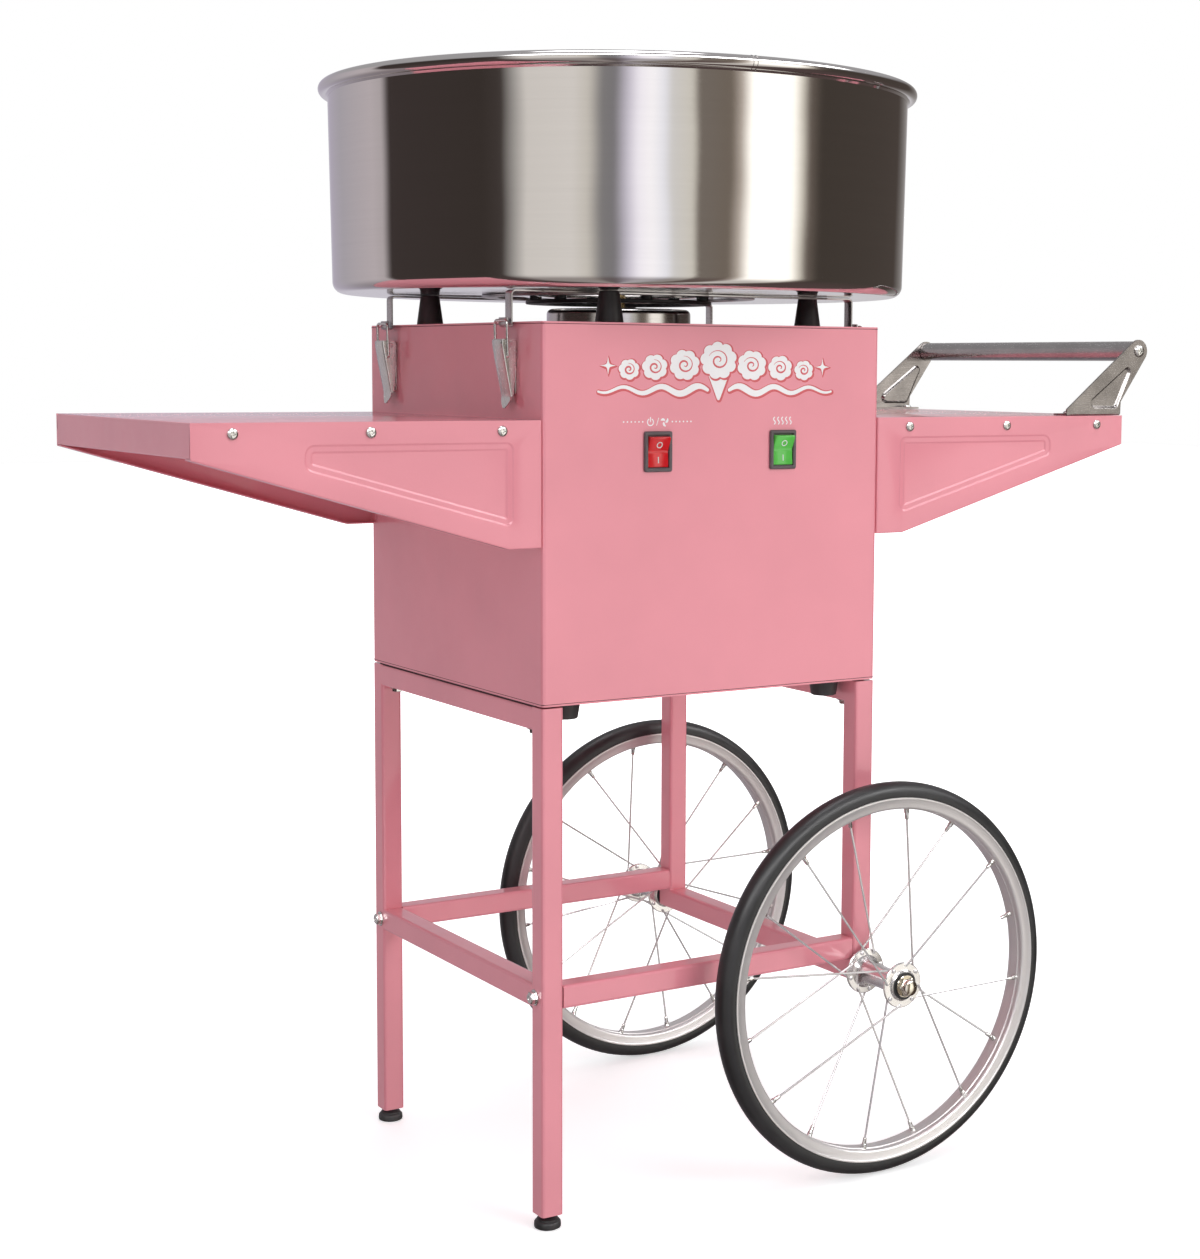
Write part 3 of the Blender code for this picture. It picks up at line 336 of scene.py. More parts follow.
class Piece:
    def __init__(self):
        self.bm = bmesh.new()

    def loft(self, rings, caps=True, loop=False, closed=True):
        """Faces between rings of points. closed joins a ring's ends, loop joins the last ring to the first."""
        rows = [[self.bm.verts.new(p) for p in ring] for ring in rings]
        pairs = list(zip(rows, rows[1:]))
        if loop:
            pairs.append((rows[-1], rows[0]))
        count = len(rows[0])
        for a, b in pairs:
            for i in range(count if closed else count - 1):
                j = (i + 1) % count
                self.bm.faces.new((a[i], a[j], b[j], b[i]))
        if caps and not loop:
            self.bm.faces.new(rows[0])
            self.bm.faces.new(rows[-1])
        return rows

    def lathe(self, profile, steps, at=upright(), start=0.0):
        """A closed profile of (radius, height) turned about the local Z."""
        rings = []
        for i in range(steps):
            turn = at @ Matrix.Rotation(start + 2 * math.pi * i / steps, 4, "Z")
            rings.append([turn @ Vector((radius, 0, height)) for radius, height in profile])
        self.loft(rings, loop=True)

    def slab(self, outline, low, high, at=upright()):
        """A flat outline pushed from low to high along the local Z."""
        self.loft([[at @ Vector((p[0], p[1], h)) for p in outline] for h in (low, high)])

    def box(self, x, y, z):
        self.slab([(x[0], y[0]), (x[1], y[0]), (x[1], y[1]), (x[0], y[1])], *z)

    def wire(self, path, radius, sides=10, closed=False):
        """A round wire along a path. radius may be one number or one for each point."""
        points = [Vector(p) for p in path]
        count = len(points)
        radii = radius if isinstance(radius, (list, tuple)) else [radius] * count
        steps = [(points[(i + 1) % count] - points[i]).normalized() for i in range(count)]
        if not closed:
            steps[-1] = steps[-2]
        normal = steps[0].orthogonal().normalized()
        rings = []
        for i, point in enumerate(points):
            before = steps[i - 1] if closed or i else steps[0]
            along = (before + steps[i]).normalized()
            normal = (normal - along * normal.dot(along)).normalized()
            other = along.cross(normal)
            angles = [2 * math.pi * k / sides for k in range(sides)]
            rings.append([point + (normal * math.cos(a) + other * math.sin(a)) * radii[i] for a in angles])
        self.loft(rings, loop=closed)

    def screw(self, at, radius=0.0042, height=0.0022):
        """A domed screw head with a four-armed recess. Local Z points out."""
        sides = 32
        rings = []
        profile = [(1.0, 0.0), (1.0, 0.25), (0.93, 0.52), (0.78, 0.76), (0.60, 0.90), (0.53, 0.94)]
        for share, level in profile:
            rings.append([(share * radius, 2 * math.pi * k / sides, level * height) for k in range(sides)])
        for share, level in ((1.0, 0.92), (0.8, 0.30)):
            ring = []
            for k in range(sides):
                a = 2 * math.pi * k / sides
                reach = share * radius * (0.20 + 0.30 * abs(math.cos(2 * a)) ** 1.5)
                ring.append((reach, a, level * height))
            rings.append(ring)
        rings = [[at @ Vector((r * math.cos(a), r * math.sin(a), h)) for r, a, h in ring] for ring in rings]
        self.loft(rings)

    def hexagon(self, at, across=0.0085, height=0.0045, washer=0.0075):
        """A hexagon bolt head with its chamfer, on a washer. Local Z points out."""
        if washer:
            self.lathe([(0.0005, 0), (washer, 0), (washer, 0.0009), (washer - 0.0004, 0.0012), (0.0005, 0.0012)], 32, at)
        corner = across / math.sqrt(3)
        base = 0.0012 if washer else 0.0
        rings = []
        for share, level in ((1.0, 0.0), (1.0, 0.80), (0.86, 1.0), (0.5, 1.0), (0.46, 0.93)):
            ring = []
            for k in range(24):
                a = 2 * math.pi * k / 24
                flat = math.cos(math.pi / 6) / math.cos((a % (math.pi / 3)) - math.pi / 6)
                reach = corner * (flat if share > 0.9 else min(flat, 0.90)) * share
                ring.append(at @ Vector((reach * math.cos(a), reach * math.sin(a), base + level * height)))
            rings.append(ring)
        self.loft(rings)

    def finish(self, name, material, body, slot=None, replaces=(), smooth=32, edge=0.0, fold=0.0, thick=0.0):
        """fold rounds the bends of a sheet, thick gives a sheet its thickness, edge softens sharp edges."""
        bmesh.ops.remove_doubles(self.bm, verts=self.bm.verts, dist=1e-6)
        if not thick:
            bmesh.ops.recalc_face_normals(self.bm, faces=self.bm.faces)
        self.bm.transform(Matrix.Translation((CART_X, 0, 0)))
        mesh = bpy.data.meshes.new(name)
        self.bm.to_mesh(mesh)
        self.bm.free()
        obj = bpy.data.objects.new(name, mesh)
        bpy.context.scene.collection.objects.link(obj)
        if fold:
            add_bevel(obj, fold, 4, 50)
        if thick:
            solid = obj.modifiers.new("thickness", "SOLIDIFY")
            solid.thickness = thick
            solid.offset = -1.0
        if edge:
            add_bevel(obj, edge, 2, 40)
        bake(obj)
        dress(obj, material, smooth)
        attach(obj, body)
        if replaces:
            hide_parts(*replaces)
        return obj


def add_bevel(obj, width, segments, angle):
    bevel = obj.modifiers.new("bevel", "BEVEL")
    bevel.width = width
    bevel.segments = segments
    bevel.limit_method = "ANGLE"
    bevel.angle_limit = math.radians(angle)
    bevel.use_clamp_overlap = True
    return bevel


def bake(obj):
    if obj.modifiers:
        graph = bpy.context.evaluated_depsgraph_get()
        mesh = bpy.data.meshes.new_from_object(obj.evaluated_get(graph))
        obj.modifiers.clear()
        obj.data = mesh


def dress(obj, material, smooth=32):
    obj.data.materials.clear()
    obj.data.materials.append(MATERIALS[material])
    obj.data.shade_smooth()
    obj.data.set_sharp_from_angle(angle=math.radians(smooth))


# ---------------------------------------------------------------- the wheels
def wheel_frame(side):
    """Local Z is the axle, pointing away from the cart; local X is the cart's X."""
    return frame_at((WHEEL_X, side * WHEEL_Y, AXLE_Z), (0, side, 0), (0, 0, 1))


def build_tyre(name, at):
    radius = 0.0108
    tread = arc((WHEEL_RADIUS - radius, 0), radius, -128, 128, 30)
    tyre = Piece()
    tyre.lathe([(0.1603, 0.0060), (0.1603, -0.0060)] + tread, 144, at)
    tyre.finish(f"tyre_band_{name}", "tyre", f"wheel_{name}", "tyre_rubber", [f"tyre_{name}"], 40)


def build_rim(name, at):
    """An aluminium rim: spoke bed, flat side walls and a rolled lip against the tyre."""
    half = [(RIM_BED, 0.0), (RIM_BED + 0.0002, 0.0042), (RIM_BED + 0.0009, 0.0048), (RIM_BED + 0.0007, 0.0062)]
    half += [(RIM_BED + 0.0010, 0.0088), (RIM_BED + 0.0018, 0.0099), (RIM_BED + 0.0032, 0.0104)]
    half += [(RIM_EDGE - 0.0022, 0.0106), (RIM_EDGE - 0.0014, 0.0113), (RIM_EDGE - 0.0002, 0.0112)]
    half += [(RIM_EDGE + 0.0001, 0.0104), (RIM_EDGE - 0.0006, 0.0090), (0.1600, 0.0071)]
    profile = [(r, -h) for r, h in half[1:]][::-1] + half
    rim = Piece()
    rim.lathe(profile, 144, at)
    rim.finish(f"rim_band_{name}", "rim", f"wheel_{name}", "aluminium", [f"rim_{name}"], 40)


SPOKES = 8  # on each flange
FLANGE_RADIUS = 0.0205
FLANGE_OFFSET = 0.0275
HOLE_CIRCLE = FLANGE_RADIUS - 0.0030
SPOKE_START = math.radians(37)


def spoke_ends():
    """(angle at the hub, angle at the rim, flange side, which face of the flange) for each spoke."""
    pitch = 2 * math.pi / SPOKES
    for side, start in ((1, SPOKE_START), (-1, SPOKE_START + pitch / 2)):
        for i in range(SPOKES):
            way = 1 if i % 2 == 0 else -1
            at_rim = start + pitch * i
            yield at_rim + way * pitch, at_rim, side, way


def around(radius, angle, height):
    return Vector((radius * math.cos(angle), radius * math.sin(angle), height))


def build_spokes(name, at, body):
    spokes, nipples = Piece(), Piece()
    for at_hub, at_rim, side, way in spoke_ends():
        level = side * FLANGE_OFFSET
        face = level + side * way * 0.0024
        outer = around(RIM_BED + 0.001, at_rim, side * 0.0025)
        inner = around(HOLE_CIRCLE, at_hub, face)
        along = (outer - inner).normalized()
        head = around(HOLE_CIRCLE, at_hub, level - side * way * 0.0026)
        path = [head, around(HOLE_CIRCLE, at_hub, level), inner + along * 0.0006, inner + along * 0.004, outer]
        spokes.wire([at @ p for p in path], [0.0010, 0.0010, 0.0010, 0.00095, 0.00095], 8)
        out = (at.to_3x3() @ Vector((0, 0, -side * way))).normalized()
        dome = [(0.00005, -0.0010), (0.0019, -0.0010), (0.0018, -0.0003), (0.0011, 0.0002), (0.00005, 0.0003)]
        spokes.lathe(dome, 12, frame_at(at @ head, out, (1, 0, 0)))
        start = at @ (outer - along * 0.0105)
        end = at @ (outer - along * 0.0004)
        steps = [start.lerp(end, t) for t in (0.0, 0.06, 0.55, 0.60, 0.9, 1.0)]
        nipples.wire(steps, [0.0013, 0.0017, 0.0019, 0.0023, 0.0024, 0.0030], 10)
    spokes.finish(f"spokes_{name}", "spoke", body, "chrome")
    nipples.finish(f"spoke_nipples_{name}", "zinc", body, "chrome")


def build_hub(name, at, body):
    hub = Piece()
    flange = FLANGE_OFFSET
    bore = 0.0053
    half = [(bore, 0.0310), (0.0124, 0.0310), (0.0131, 0.0304), (0.0134, flange + 0.0020)]
    half += [(0.0142, flange + 0.0014), (FLANGE_RADIUS - 0.0008, flange + 0.0013), (FLANGE_RADIUS, flange + 0.0006)]
    half += [(FLANGE_RADIUS, flange - 0.0006), (FLANGE_RADIUS - 0.0008, flange - 0.0013), (0.0150, flange - 0.0018)]
    half += [(0.0118, flange - 0.0050), (0.0102, flange - 0.0100), (0.0098, 0.0)]
    profile = half + [(r, -h) for r, h in half[:-1]][::-1]
    hub.lathe(profile, 72, at)
    hub.finish(f"hub_shell_{name}", "spun_hub", body, "chrome", [f"hub_{name}"], 28)

    cap = Piece()
    ring = [(0.0080, 0.0306), (0.0122, 0.0306), (0.0123, 0.0316), (0.0117, 0.0320), (0.0106, 0.0318), (0.0084, 0.0318)]
    for way in (1, -1):
        cap.lathe([(r, way * h) for r, h in ring], 48, at)
    cap.finish(f"bearing_caps_{name}", "black", body, smooth=45)


def build_axle_nut(name, side):
    at = frame_at((WHEEL_X, side * WHEEL_Y, AXLE_Z), (0, side, 0), (0, 0, 1))
    nut = Piece()
    washer = [(0.0052, 0.0326), (0.0098, 0.0326), (0.0100, 0.0331), (0.0096, 0.0337), (0.0052, 0.0337)]
    nut.lathe(washer, 40, at)
    rings = []
    for reach, level in ((0.0092, 0.0337), (0.0092, 0.0372), (0.0084, 0.0380)):
        ring = []
        for k in range(36):
            a = 2 * math.pi * k / 36
            flat = math.cos(math.pi / 6) / math.cos((a % (math.pi / 3)) - math.pi / 6)
            share = flat if level < 0.0375 else min(flat, 0.93)
            ring.append(at @ around(reach * share, a, level))
        rings.append(ring)
    for reach, level in ((0.0076, 0.0381), (0.0074, 0.0394), (0.0066, 0.0410), (0.0048, 0.0421), (0.0020, 0.0426)):
        rings.append([at @ around(reach, 2 * math.pi * k / 36, level) for k in range(36)])
    nut.loft(rings)
    nut.finish(f"axle_dome_nut_{name}", "nut", "cart", "chrome", [f"axle_nut_{name}"], 30)


def build_wheels():
    for name in ("front", "back"):
        side = SIDES[name]
        at = wheel_frame(side)
        build_tyre(name, at)
        build_rim(name, at)
        build_spokes(name, spoke_frame(side), f"wheel_{name}")
        build_hub(name, at, f"wheel_{name}")
        build_axle_nut(name, side)
    dress(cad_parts["axle"], "zinc")


def spoke_frame(side):
    """Like the wheel's frame, but with local X towards +X and local Y up, seen from the front for side -1."""
    turn = 0.0 if side < 0 else math.pi
    base = Matrix(((1, 0, 0), (0, 0, -1), (0, 1, 0))).to_4x4()
    return Matrix.Translation((WHEEL_X, side * WHEEL_Y, AXLE_Z)) @ Matrix.Rotation(turn, 4, "Z") @ base


# ---------------------------------------------------------------- the bowl and what holds it
def build_bowl():
    low_radius = BOWL_RADIUS - 0.003
    sheet = 0.0010
    bend = 0.010
    wall_top = BOWL_TOP - 2 * BEAD_RADIUS + 0.001
    corner = (low_radius - bend, BOWL_BOTTOM + bend)
    bead = (BOWL_RADIUS + 0.0028, BOWL_TOP - BEAD_RADIUS)
    hole = 0.075
    outside = [(hole, BOWL_BOTTOM + 0.003), (hole + 0.0006, BOWL_BOTTOM + 0.0006), (hole + 0.003, BOWL_BOTTOM)]
    outside += [(r, BOWL_BOTTOM) for r in (0.11, 0.16, 0.21)]
    outside += arc(corner, bend, -90, 0, 12)
    outside += [(low_radius + 0.003 * t, corner[1] + (wall_top - corner[1]) * t) for t in (0.02, 0.1, 0.3, 0.5, 0.7, 0.9, 0.985)]
    outside += arc(bead, BEAD_RADIUS, -100, 168, 22)
    inside = [(BOWL_RADIUS - sheet, wall_top), (low_radius - sheet, corner[1])]
    inside += arc(corner, bend - sheet, 0, -90, 10)
    inside += [(0.16, BOWL_BOTTOM + sheet), (hole + 0.004, BOWL_BOTTOM + sheet), (hole + 0.001, BOWL_BOTTOM + 0.0034)]
    bowl = Piece()
    bowl.lathe(outside + inside, 192)
    bowl.finish("bowl_stainless_sheet", "bowl", "bowl", "polished_steel", ["bowl"], 40)

    seam = Piece()
    for angle in map(math.radians, (-96.9, -96.1, 83.1, 83.9)):
        joint = []
        for turn in range(24):
            a = 2 * math.pi * turn / 24
            r = bead[0] + (BEAD_RADIUS + 0.00012) * math.cos(a)
            joint.append(Vector((r * math.cos(angle), r * math.sin(angle), bead[1] + (BEAD_RADIUS + 0.00012) * math.sin(a))))
        seam.wire(joint, 0.00022, 6, closed=True)
    seam.finish("bowl_bead_seams", "bracket", "bowl")


def build_under_bowl():
    """The straps with their hooks, and a black stiffening ring with spacers."""
    low = BOWL_BOTTOM - 0.0020
    high = BOWL_BOTTOM - GAP
    straps = Piece()
    straps.lathe([(0.110, low), (0.124, low), (0.124, high), (0.110, high)], 96)
    out = HALF_X + 0.0035
    middle = (low + high) / 2
    hook_path = [(out - 0.030, middle), (out, middle), (out, 0.7572), (out + 0.0052, 0.7572), (out + 0.0052, 0.7645)]
    hook = fillet(hook_path, [0, 0.0035, 0.0022, 0.0022, 0], 6, closed=False)
    for side in (-1, 1):
        y = side * LATCH_Y
        straps.box((-out + 0.028, out - 0.028), (y - 0.0055, y + 0.0055), (low, high))
        for way in (-1, 1):
            add_ribbon(straps, [(way * x, z) for x, z in hook], 0.0014, y, lambda i: 0.0055 if i < 9 else 0.0072)
    straps.finish("bowl_hook_straps", "strap", "bowl", "brushed_steel", ["hook_frame"], 35, edge=0.0003)

    ring = Piece()
    ring.lathe([(0.0660, 0.7806), (0.0840, 0.7806), (0.0846, 0.7812), (0.0846, 0.7832), (0.0840, 0.7838), (0.0660, 0.7838)], 96)
    for i in range(6):
        a = math.radians(18 + 60 * i)
        at = upright((0.0775 * math.cos(a), 0.0775 * math.sin(a), 0))
        ring.lathe([(0.0001, 0.7836), (0.0055, 0.7836), (0.0055, BOWL_BOTTOM), (0.0001, BOWL_BOTTOM)], 20, at)
    ring.finish("bowl_seat_ring", "black", "bowl", "black_plastic", smooth=40)


def add_ribbon(target, path, thickness, y, half_width):
    """A strip of sheet that follows a path in XZ, centred on y."""
    points = [Vector(p) for p in path]
    rings = []
    for i, point in enumerate(points):
        before = (point - points[i - 1]).normalized() if i else (points[1] - point).normalized()
        after = (points[i + 1] - point).normalized() if i < len(points) - 1 else before
        along = (before + after).normalized()
        across = Vector((-along.y, along.x)) * thickness / 2
        half = half_width(i)
        rings.append([
            Vector((point.x + s * across.x, y + w * half, point.y + s * across.y))
            for s, w in ((1, -1), (1, 1), (-1, 1), (-1, -1))
        ])
    target.loft(rings)


def build_supports():
    height = BOWL_BOTTOM - CABINET_TOP - 2 * GAP
    profile = [(0.00005, 0.0), (0.0114, 0.0), (0.0120, 0.0006), (0.0117, 0.0030), (0.0086, height - 0.0012)]
    profile += [(0.0080, height - 0.0003), (0.0074, height), (0.00005, height)]
    for i, name in enumerate(("front_right", "back_right", "back_left", "front_left")):
        a = math.radians(-33 + 90 * i)
        cone = Piece()
        cone.lathe(profile, 48, upright((0.172 * math.cos(a), 0.172 * math.sin(a), CABINET_TOP + GAP)))
        cone.finish(f"support_cone_{name}", "rubber", "cart", "black_rubber", [f"bowl_support_{name}"], 45)

    seat = CABINET_TOP + GAP
    top = seat + 0.0150
    outer, shoulder = 0.0655, 0.0050
    corner = (outer - shoulder, top - shoulder)
    dish = Piece()
    profile = [(outer, seat), (outer, seat + 0.002)] + arc(corner, shoulder, 0, 90, 10)
    profile += [(0.0560, top), (0.0550, top - 0.0006), (0.0300, top - 0.0006), (0.0290, top), (0.022, top)]
    profile += [(0.022, top - 0.001), (0.056, top - 0.0016)] + arc(corner, shoulder - 0.001, 90, 0, 6)
    profile += [(outer - 0.001, seat)]
    dish.lathe(profile, 96)
    dish.finish("splash_dish_sheet", "dish", "cart", "polished_steel", ["splash_dish"], 40)


# ---------------------------------------------------------------- the spinning head
def build_head():
    base_z = HEAD_BOTTOM
    bore = 0.0063
    base = Piece()
    base.lathe(
        [(bore, 0), (0.0590, 0), (0.0620, 0.0010), (0.0632, 0.0030), (0.0632, 0.0084), (0.0628, 0.0090), (0.0620, 0.0090)]
        + [(0.0614, 0.0084), (0.0612, 0.0040), (0.0596, 0.0025), (0.0150, 0.0025), (0.0138, 0.0034), (0.0130, 0.0132)]
        + [(0.0122, 0.0140), (bore, 0.0140)],
        96, upright((0, 0, base_z)),
    )
    base.finish("spinner_pan", "head", "spinner", "aluminium", ["spinner_base"], 38)

    ring = Piece()
    coil = arc((0.0505, 0.0150), 0.0042, 0, 345, 15)
    ring.lathe(coil, 72, upright((0, 0, base_z)))
    ring.finish("heating_coil", "cast", "spinner", "cast_metal", ["heating_ring"], 60)

    cover = Piece()
    cover.lathe(
        [(0.0190, 0.0472), (0.0196, 0.0480), (0.0214, 0.0480), (0.0220, 0.0472), (0.0226, 0.0380), (0.0244, 0.0347)]
        + [(0.0300, 0.0336), (0.0560, 0.0306), (0.0604, 0.0298), (0.0630, 0.0280), (0.0635, 0.0262), (0.0635, 0.0222)]
        + [(0.0630, 0.0215), (0.0620, 0.0215), (0.0618, 0.0260), (0.0596, 0.0284), (0.0250, 0.0324), (0.0190, 0.0336)],
        96, upright((0, 0, base_z)),
    )
    for i in range(4):
        a = math.radians(45 + 90 * i)
        slope = Vector((0.11 * math.cos(a), 0.11 * math.sin(a), 1.0))
        place = Vector((0.040 * math.cos(a), 0.040 * math.sin(a), base_z + 0.0322))
        cover.screw(frame_at(place, slope, (0, 1, 0)), 0.0032, 0.0018)
    cover.finish("spinner_dome", "head", "spinner", "aluminium", ["spinner_cover"], 38)

    screen = Piece()
    slats = 90
    for i in range(slats):
        a = 2 * math.pi * i / slats
        screen.wire([around(0.0622, a, base_z + h) for h in (0.0086, 0.0218)], 0.00045, 5)
    for level in (0.0112, 0.0150, 0.0190):
        hoop = [around(0.0622, 2 * math.pi * k / 72, base_z + level) for k in range(72)]
        screen.wire(hoop, 0.00035, 5, closed=True)
    screen.finish("spinner_screen", "spoke", "spinner", "aluminium")

    for node, material in (("motor", "cast"), ("motor_shaft", "brass")):
        dress(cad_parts[node], material)


# ---------------------------------------------------------------- the trays
def pressed_plate(target, outline, panel, radii, at, steps=2, rise=-0.0010, run=0.0022, flange=0.0, flange_sides=()):
    """A sheet with a panel pressed in, one shallow step after another. Local Z points out of the sheet.

    flange_sides are the outline's sides that are folded back by flange.
    """
    bm = target.bm
    outer = [bm.verts.new(at @ Vector((p[0], p[1], 0))) for p in outline]
    outer_edges = [bm.edges.new((outer[i], outer[(i + 1) % len(outer)])) for i in range(len(outer))]
    rings = []
    level = 0.0
    distance = 0.0
    for _ in range(steps):
        for share, along in ((0.0, 0.0), (0.12, 0.22), (0.5, 0.50), (0.88, 0.78), (1.0, 1.0)):
            corners = inset(panel, distance + run * along)
            bends = [max(0.0015, bend - distance - run * along) for bend in radii]
            path = fillet(corners, bends, 8)
            rings.append([at @ Vector((p[0], p[1], level + rise * share)) for p in path])
        level += rise
        distance += 0.0052
    rows = target.loft(rings, caps=False)
    bm.faces.new(rows[-1])
    rim_edges = [bm.edges.get((rows[0][i], rows[0][(i + 1) % len(rows[0])])) for i in range(len(rows[0]))]
    bmesh.ops.triangle_fill(bm, edges=outer_edges + rim_edges, use_beauty=True)
    if flange:
        back = [bm.verts.new(v.co - at.to_3x3() @ Vector((0, 0, flange))) for v in outer]
        for i in flange_sides:
            j = (i + 1) % len(outer)
            bm.faces.new((outer[j], outer[i], back[i], back[j]))
        bmesh.ops.delete(bm, geom=[v for v in back if not v.link_faces], context="VERTS")
    wanted = at.to_3x3() @ Vector((0, 0, 1))
    bmesh.ops.recalc_face_normals(bm, faces=bm.faces)
    plane = max(bm.faces, key=lambda face: abs(face.normal.dot(wanted)) * face.calc_area())
    if plane.normal.dot(wanted) < 0:
        bmesh.ops.reverse_faces(bm, faces=bm.faces)


def build_tray_plates():
    """Side plates with a rounded triangle pressed in, folded in at the cabinet and along the lower edge."""
    root = HALF_X + GAP
    top, end, low = TRAY_TOP, TRAY_REACH, TRAY_TOP - PLATE_DEPTH
    end_low = TRAY_TOP - TRAY_LIP - 0.001
    knee = HALF_X + 0.030
    outline = [(root, top), (root, low), (knee, low), (end, end_low), (end, top)]
    panel = [(root + 0.025, 0.6640), (root + 0.025, low + 0.0165), (root + 0.205, 0.6440), (root + 0.205, 0.6640)]
    radii = [0.007, 0.007, 0.0085, 0.0085]
    for name, x_side, y_side in CORNERS:
        end_name, side_name = name.split("_")
        at = Matrix(((x_side, 0, 0, 0), (0, 0, y_side, y_side * HALF_Y), (0, 1, 0, 0), (0, 0, 0, 1)))
        plate = Piece()
        pressed_plate(plate, outline, panel, radii, at, flange=0.012, flange_sides=(0, 1, 2))
        node = f"tray_plate_{end_name}_{side_name}"
        plate.finish(f"tray_side_{name}", "pink", "cart", "pink_paint", [node], 30, fold=0.0011, thick=SHEET)

        screws = Piece()
        for x in (root + 0.036, root + 0.150, root + 0.262):
            screws.screw(frame_at((x_side * x, y_side * (HALF_Y + 0.0001), 0.6725), (0, y_side, 0)), 0.0045, 0.0024)
        screws.finish(f"tray_screws_{name}", "zinc", "cart", "chrome", smooth=40)


def build_tray_tops():
    """A folded pan with small radii along its bends, and a hem along its outer lip."""
    half_y = HALF_Y - SHEET - GAP
    root = HALF_X + GAP + SHEET + GAP
    for side_name in ("left", "right"):
        way = SIDES[side_name]
        pan = Piece()
        bm = pan.bm
        corners = [(root, -half_y), (TRAY_REACH, -half_y), (TRAY_REACH, half_y), (root, half_y)]
        upper = [bm.verts.new((way * x, y, TRAY_TOP)) for x, y in corners]
        faces = [bm.faces.new(upper)]
        drops = [0.013, TRAY_LIP, 0.013]
        for i, drop in enumerate(drops):
            a, b = upper[i], upper[i + 1]
            lower = [bm.verts.new(v.co - Vector((0, 0, drop))) for v in (a, b)]
            if i == 1:
                hem = [bm.verts.new(v.co + Vector((-way * 0.009, 0, 0))) for v in lower]
                faces.append(bm.faces.new((lower[0], lower[1], hem[1], hem[0])))
            faces.append(bm.faces.new((a, b, lower[1], lower[0])))
        bmesh.ops.recalc_face_normals(bm, faces=bm.faces)
        if faces[0].normal.z < 0:
            bmesh.ops.reverse_faces(bm, faces=bm.faces)
        pan.finish(f"tray_pan_{side_name}", "pink", "cart", "pink_paint", [f"tray_top_{side_name}"], 30, fold=0.0016, thick=SHEET)


# ---------------------------------------------------------------- the push handle
def build_handle():
    low = TRAY_TOP + GAP
    half = BRACKET_Y - 0.002 - GAP
    bar = Piece()
    r = HANDLE_RADIUS
    at = frame_at((HANDLE_X, 0, HANDLE_Z), (0, 1, 0), (0, 0, 1))
    section = [(r - SHEET, -half), (r - 0.0004, -half), (r, -half + 0.0004), (r, -half / 3), (r, half / 3)]
    section += [(r, half - 0.0004), (r - 0.0004, half), (r - SHEET, half)]
    bar.lathe(section, 72, at)
    bar.finish("push_bar", "bar", "cart", "brushed_steel", ["handle_bar"], 30)

    for name in ("front", "back"):
        side = SIDES[name]
        outline = [(0.3965, low + 0.0060), (0.3955, low), (0.4645, low), (0.4650, low + 0.0130)]
        outline += [tuple(p) for p in arc((HANDLE_X, HANDLE_Z), 0.0110, -35, 125, 20)]
        panel = [(0.4150, 0.6880), (0.4600, 0.6875), (0.4850, 0.7370)]
        plane = Matrix(((1, 0, 0, 0), (0, 0, side, side * BRACKET_Y), (0, 1, 0, 0), (0, 0, 0, 1)))
        bracket = Piece()
        pressed_plate(
            bracket, outline, panel, [0.0055, 0.0055, 0.0045], plane, steps=1, rise=-0.0028, run=0.0026,
            flange=0.018, flange_sides=(1,),
        )
        bracket.finish(
            f"handle_arm_{name}", "bracket", "cart", "brushed_steel", [f"handle_bracket_{name}"], 30,
            fold=0.0014, thick=0.0018,
        )
        bolts = Piece()
        bolts.screw(frame_at((HANDLE_X, side * (BRACKET_Y + 0.0001), HANDLE_Z), (0, side, 0)), 0.0058, 0.0030)
        for x in (0.406, 0.4545):
            place = (x, side * (BRACKET_Y - 0.010), low + 0.0019)
            bolts.screw(frame_at(place, (0, 0, 1), (0, 1, 0)), 0.0044, 0.0024)
        bolts.finish(f"handle_bolts_{name}", "zinc", "cart", "chrome", smooth=40)


# ---------------------------------------------------------------- the latches
LATCH_PIVOT = (0.0070, 0.7425)
LOOP_HOLD = (0.0100, 0.7320)
LOOP_TOP = (0.0110, 0.7620)


def latch_frame(x_side, y_side):
    """Local X is out from the cabinet's side, from its face; local Z is up."""
    return Matrix(((x_side, 0, 0, x_side * HALF_X), (0, x_side, 0, y_side * LATCH_Y), (0, 0, 1, 0), (0, 0, 0, 1)))


def build_latches():
    for name, x_side, y_side in CORNERS:
        at = latch_frame(x_side, y_side)
        build_latch_base(name, at)
        build_latch_lever(name, at)
        half, end = 0.0108, 0.0079
        path = [(*LOOP_HOLD[:1], -end, LOOP_HOLD[1]), (LOOP_HOLD[0], -half, LOOP_HOLD[1]), (LOOP_TOP[0], -half, LOOP_TOP[1])]
        path += [(p[0], -p[1], p[2]) for p in reversed(path)]
        rounded = fillet(path, [0, 0.0013, 0.0035, 0.0035, 0.0013, 0], 6, closed=False)
        loop = Piece()
        loop.wire([at @ p for p in rounded], 0.00125, 12)
        loop.finish(f"latch_wire_{name}", "zinc", f"loop_{name}", "chrome", [f"latch_loop_{name}"], 50)


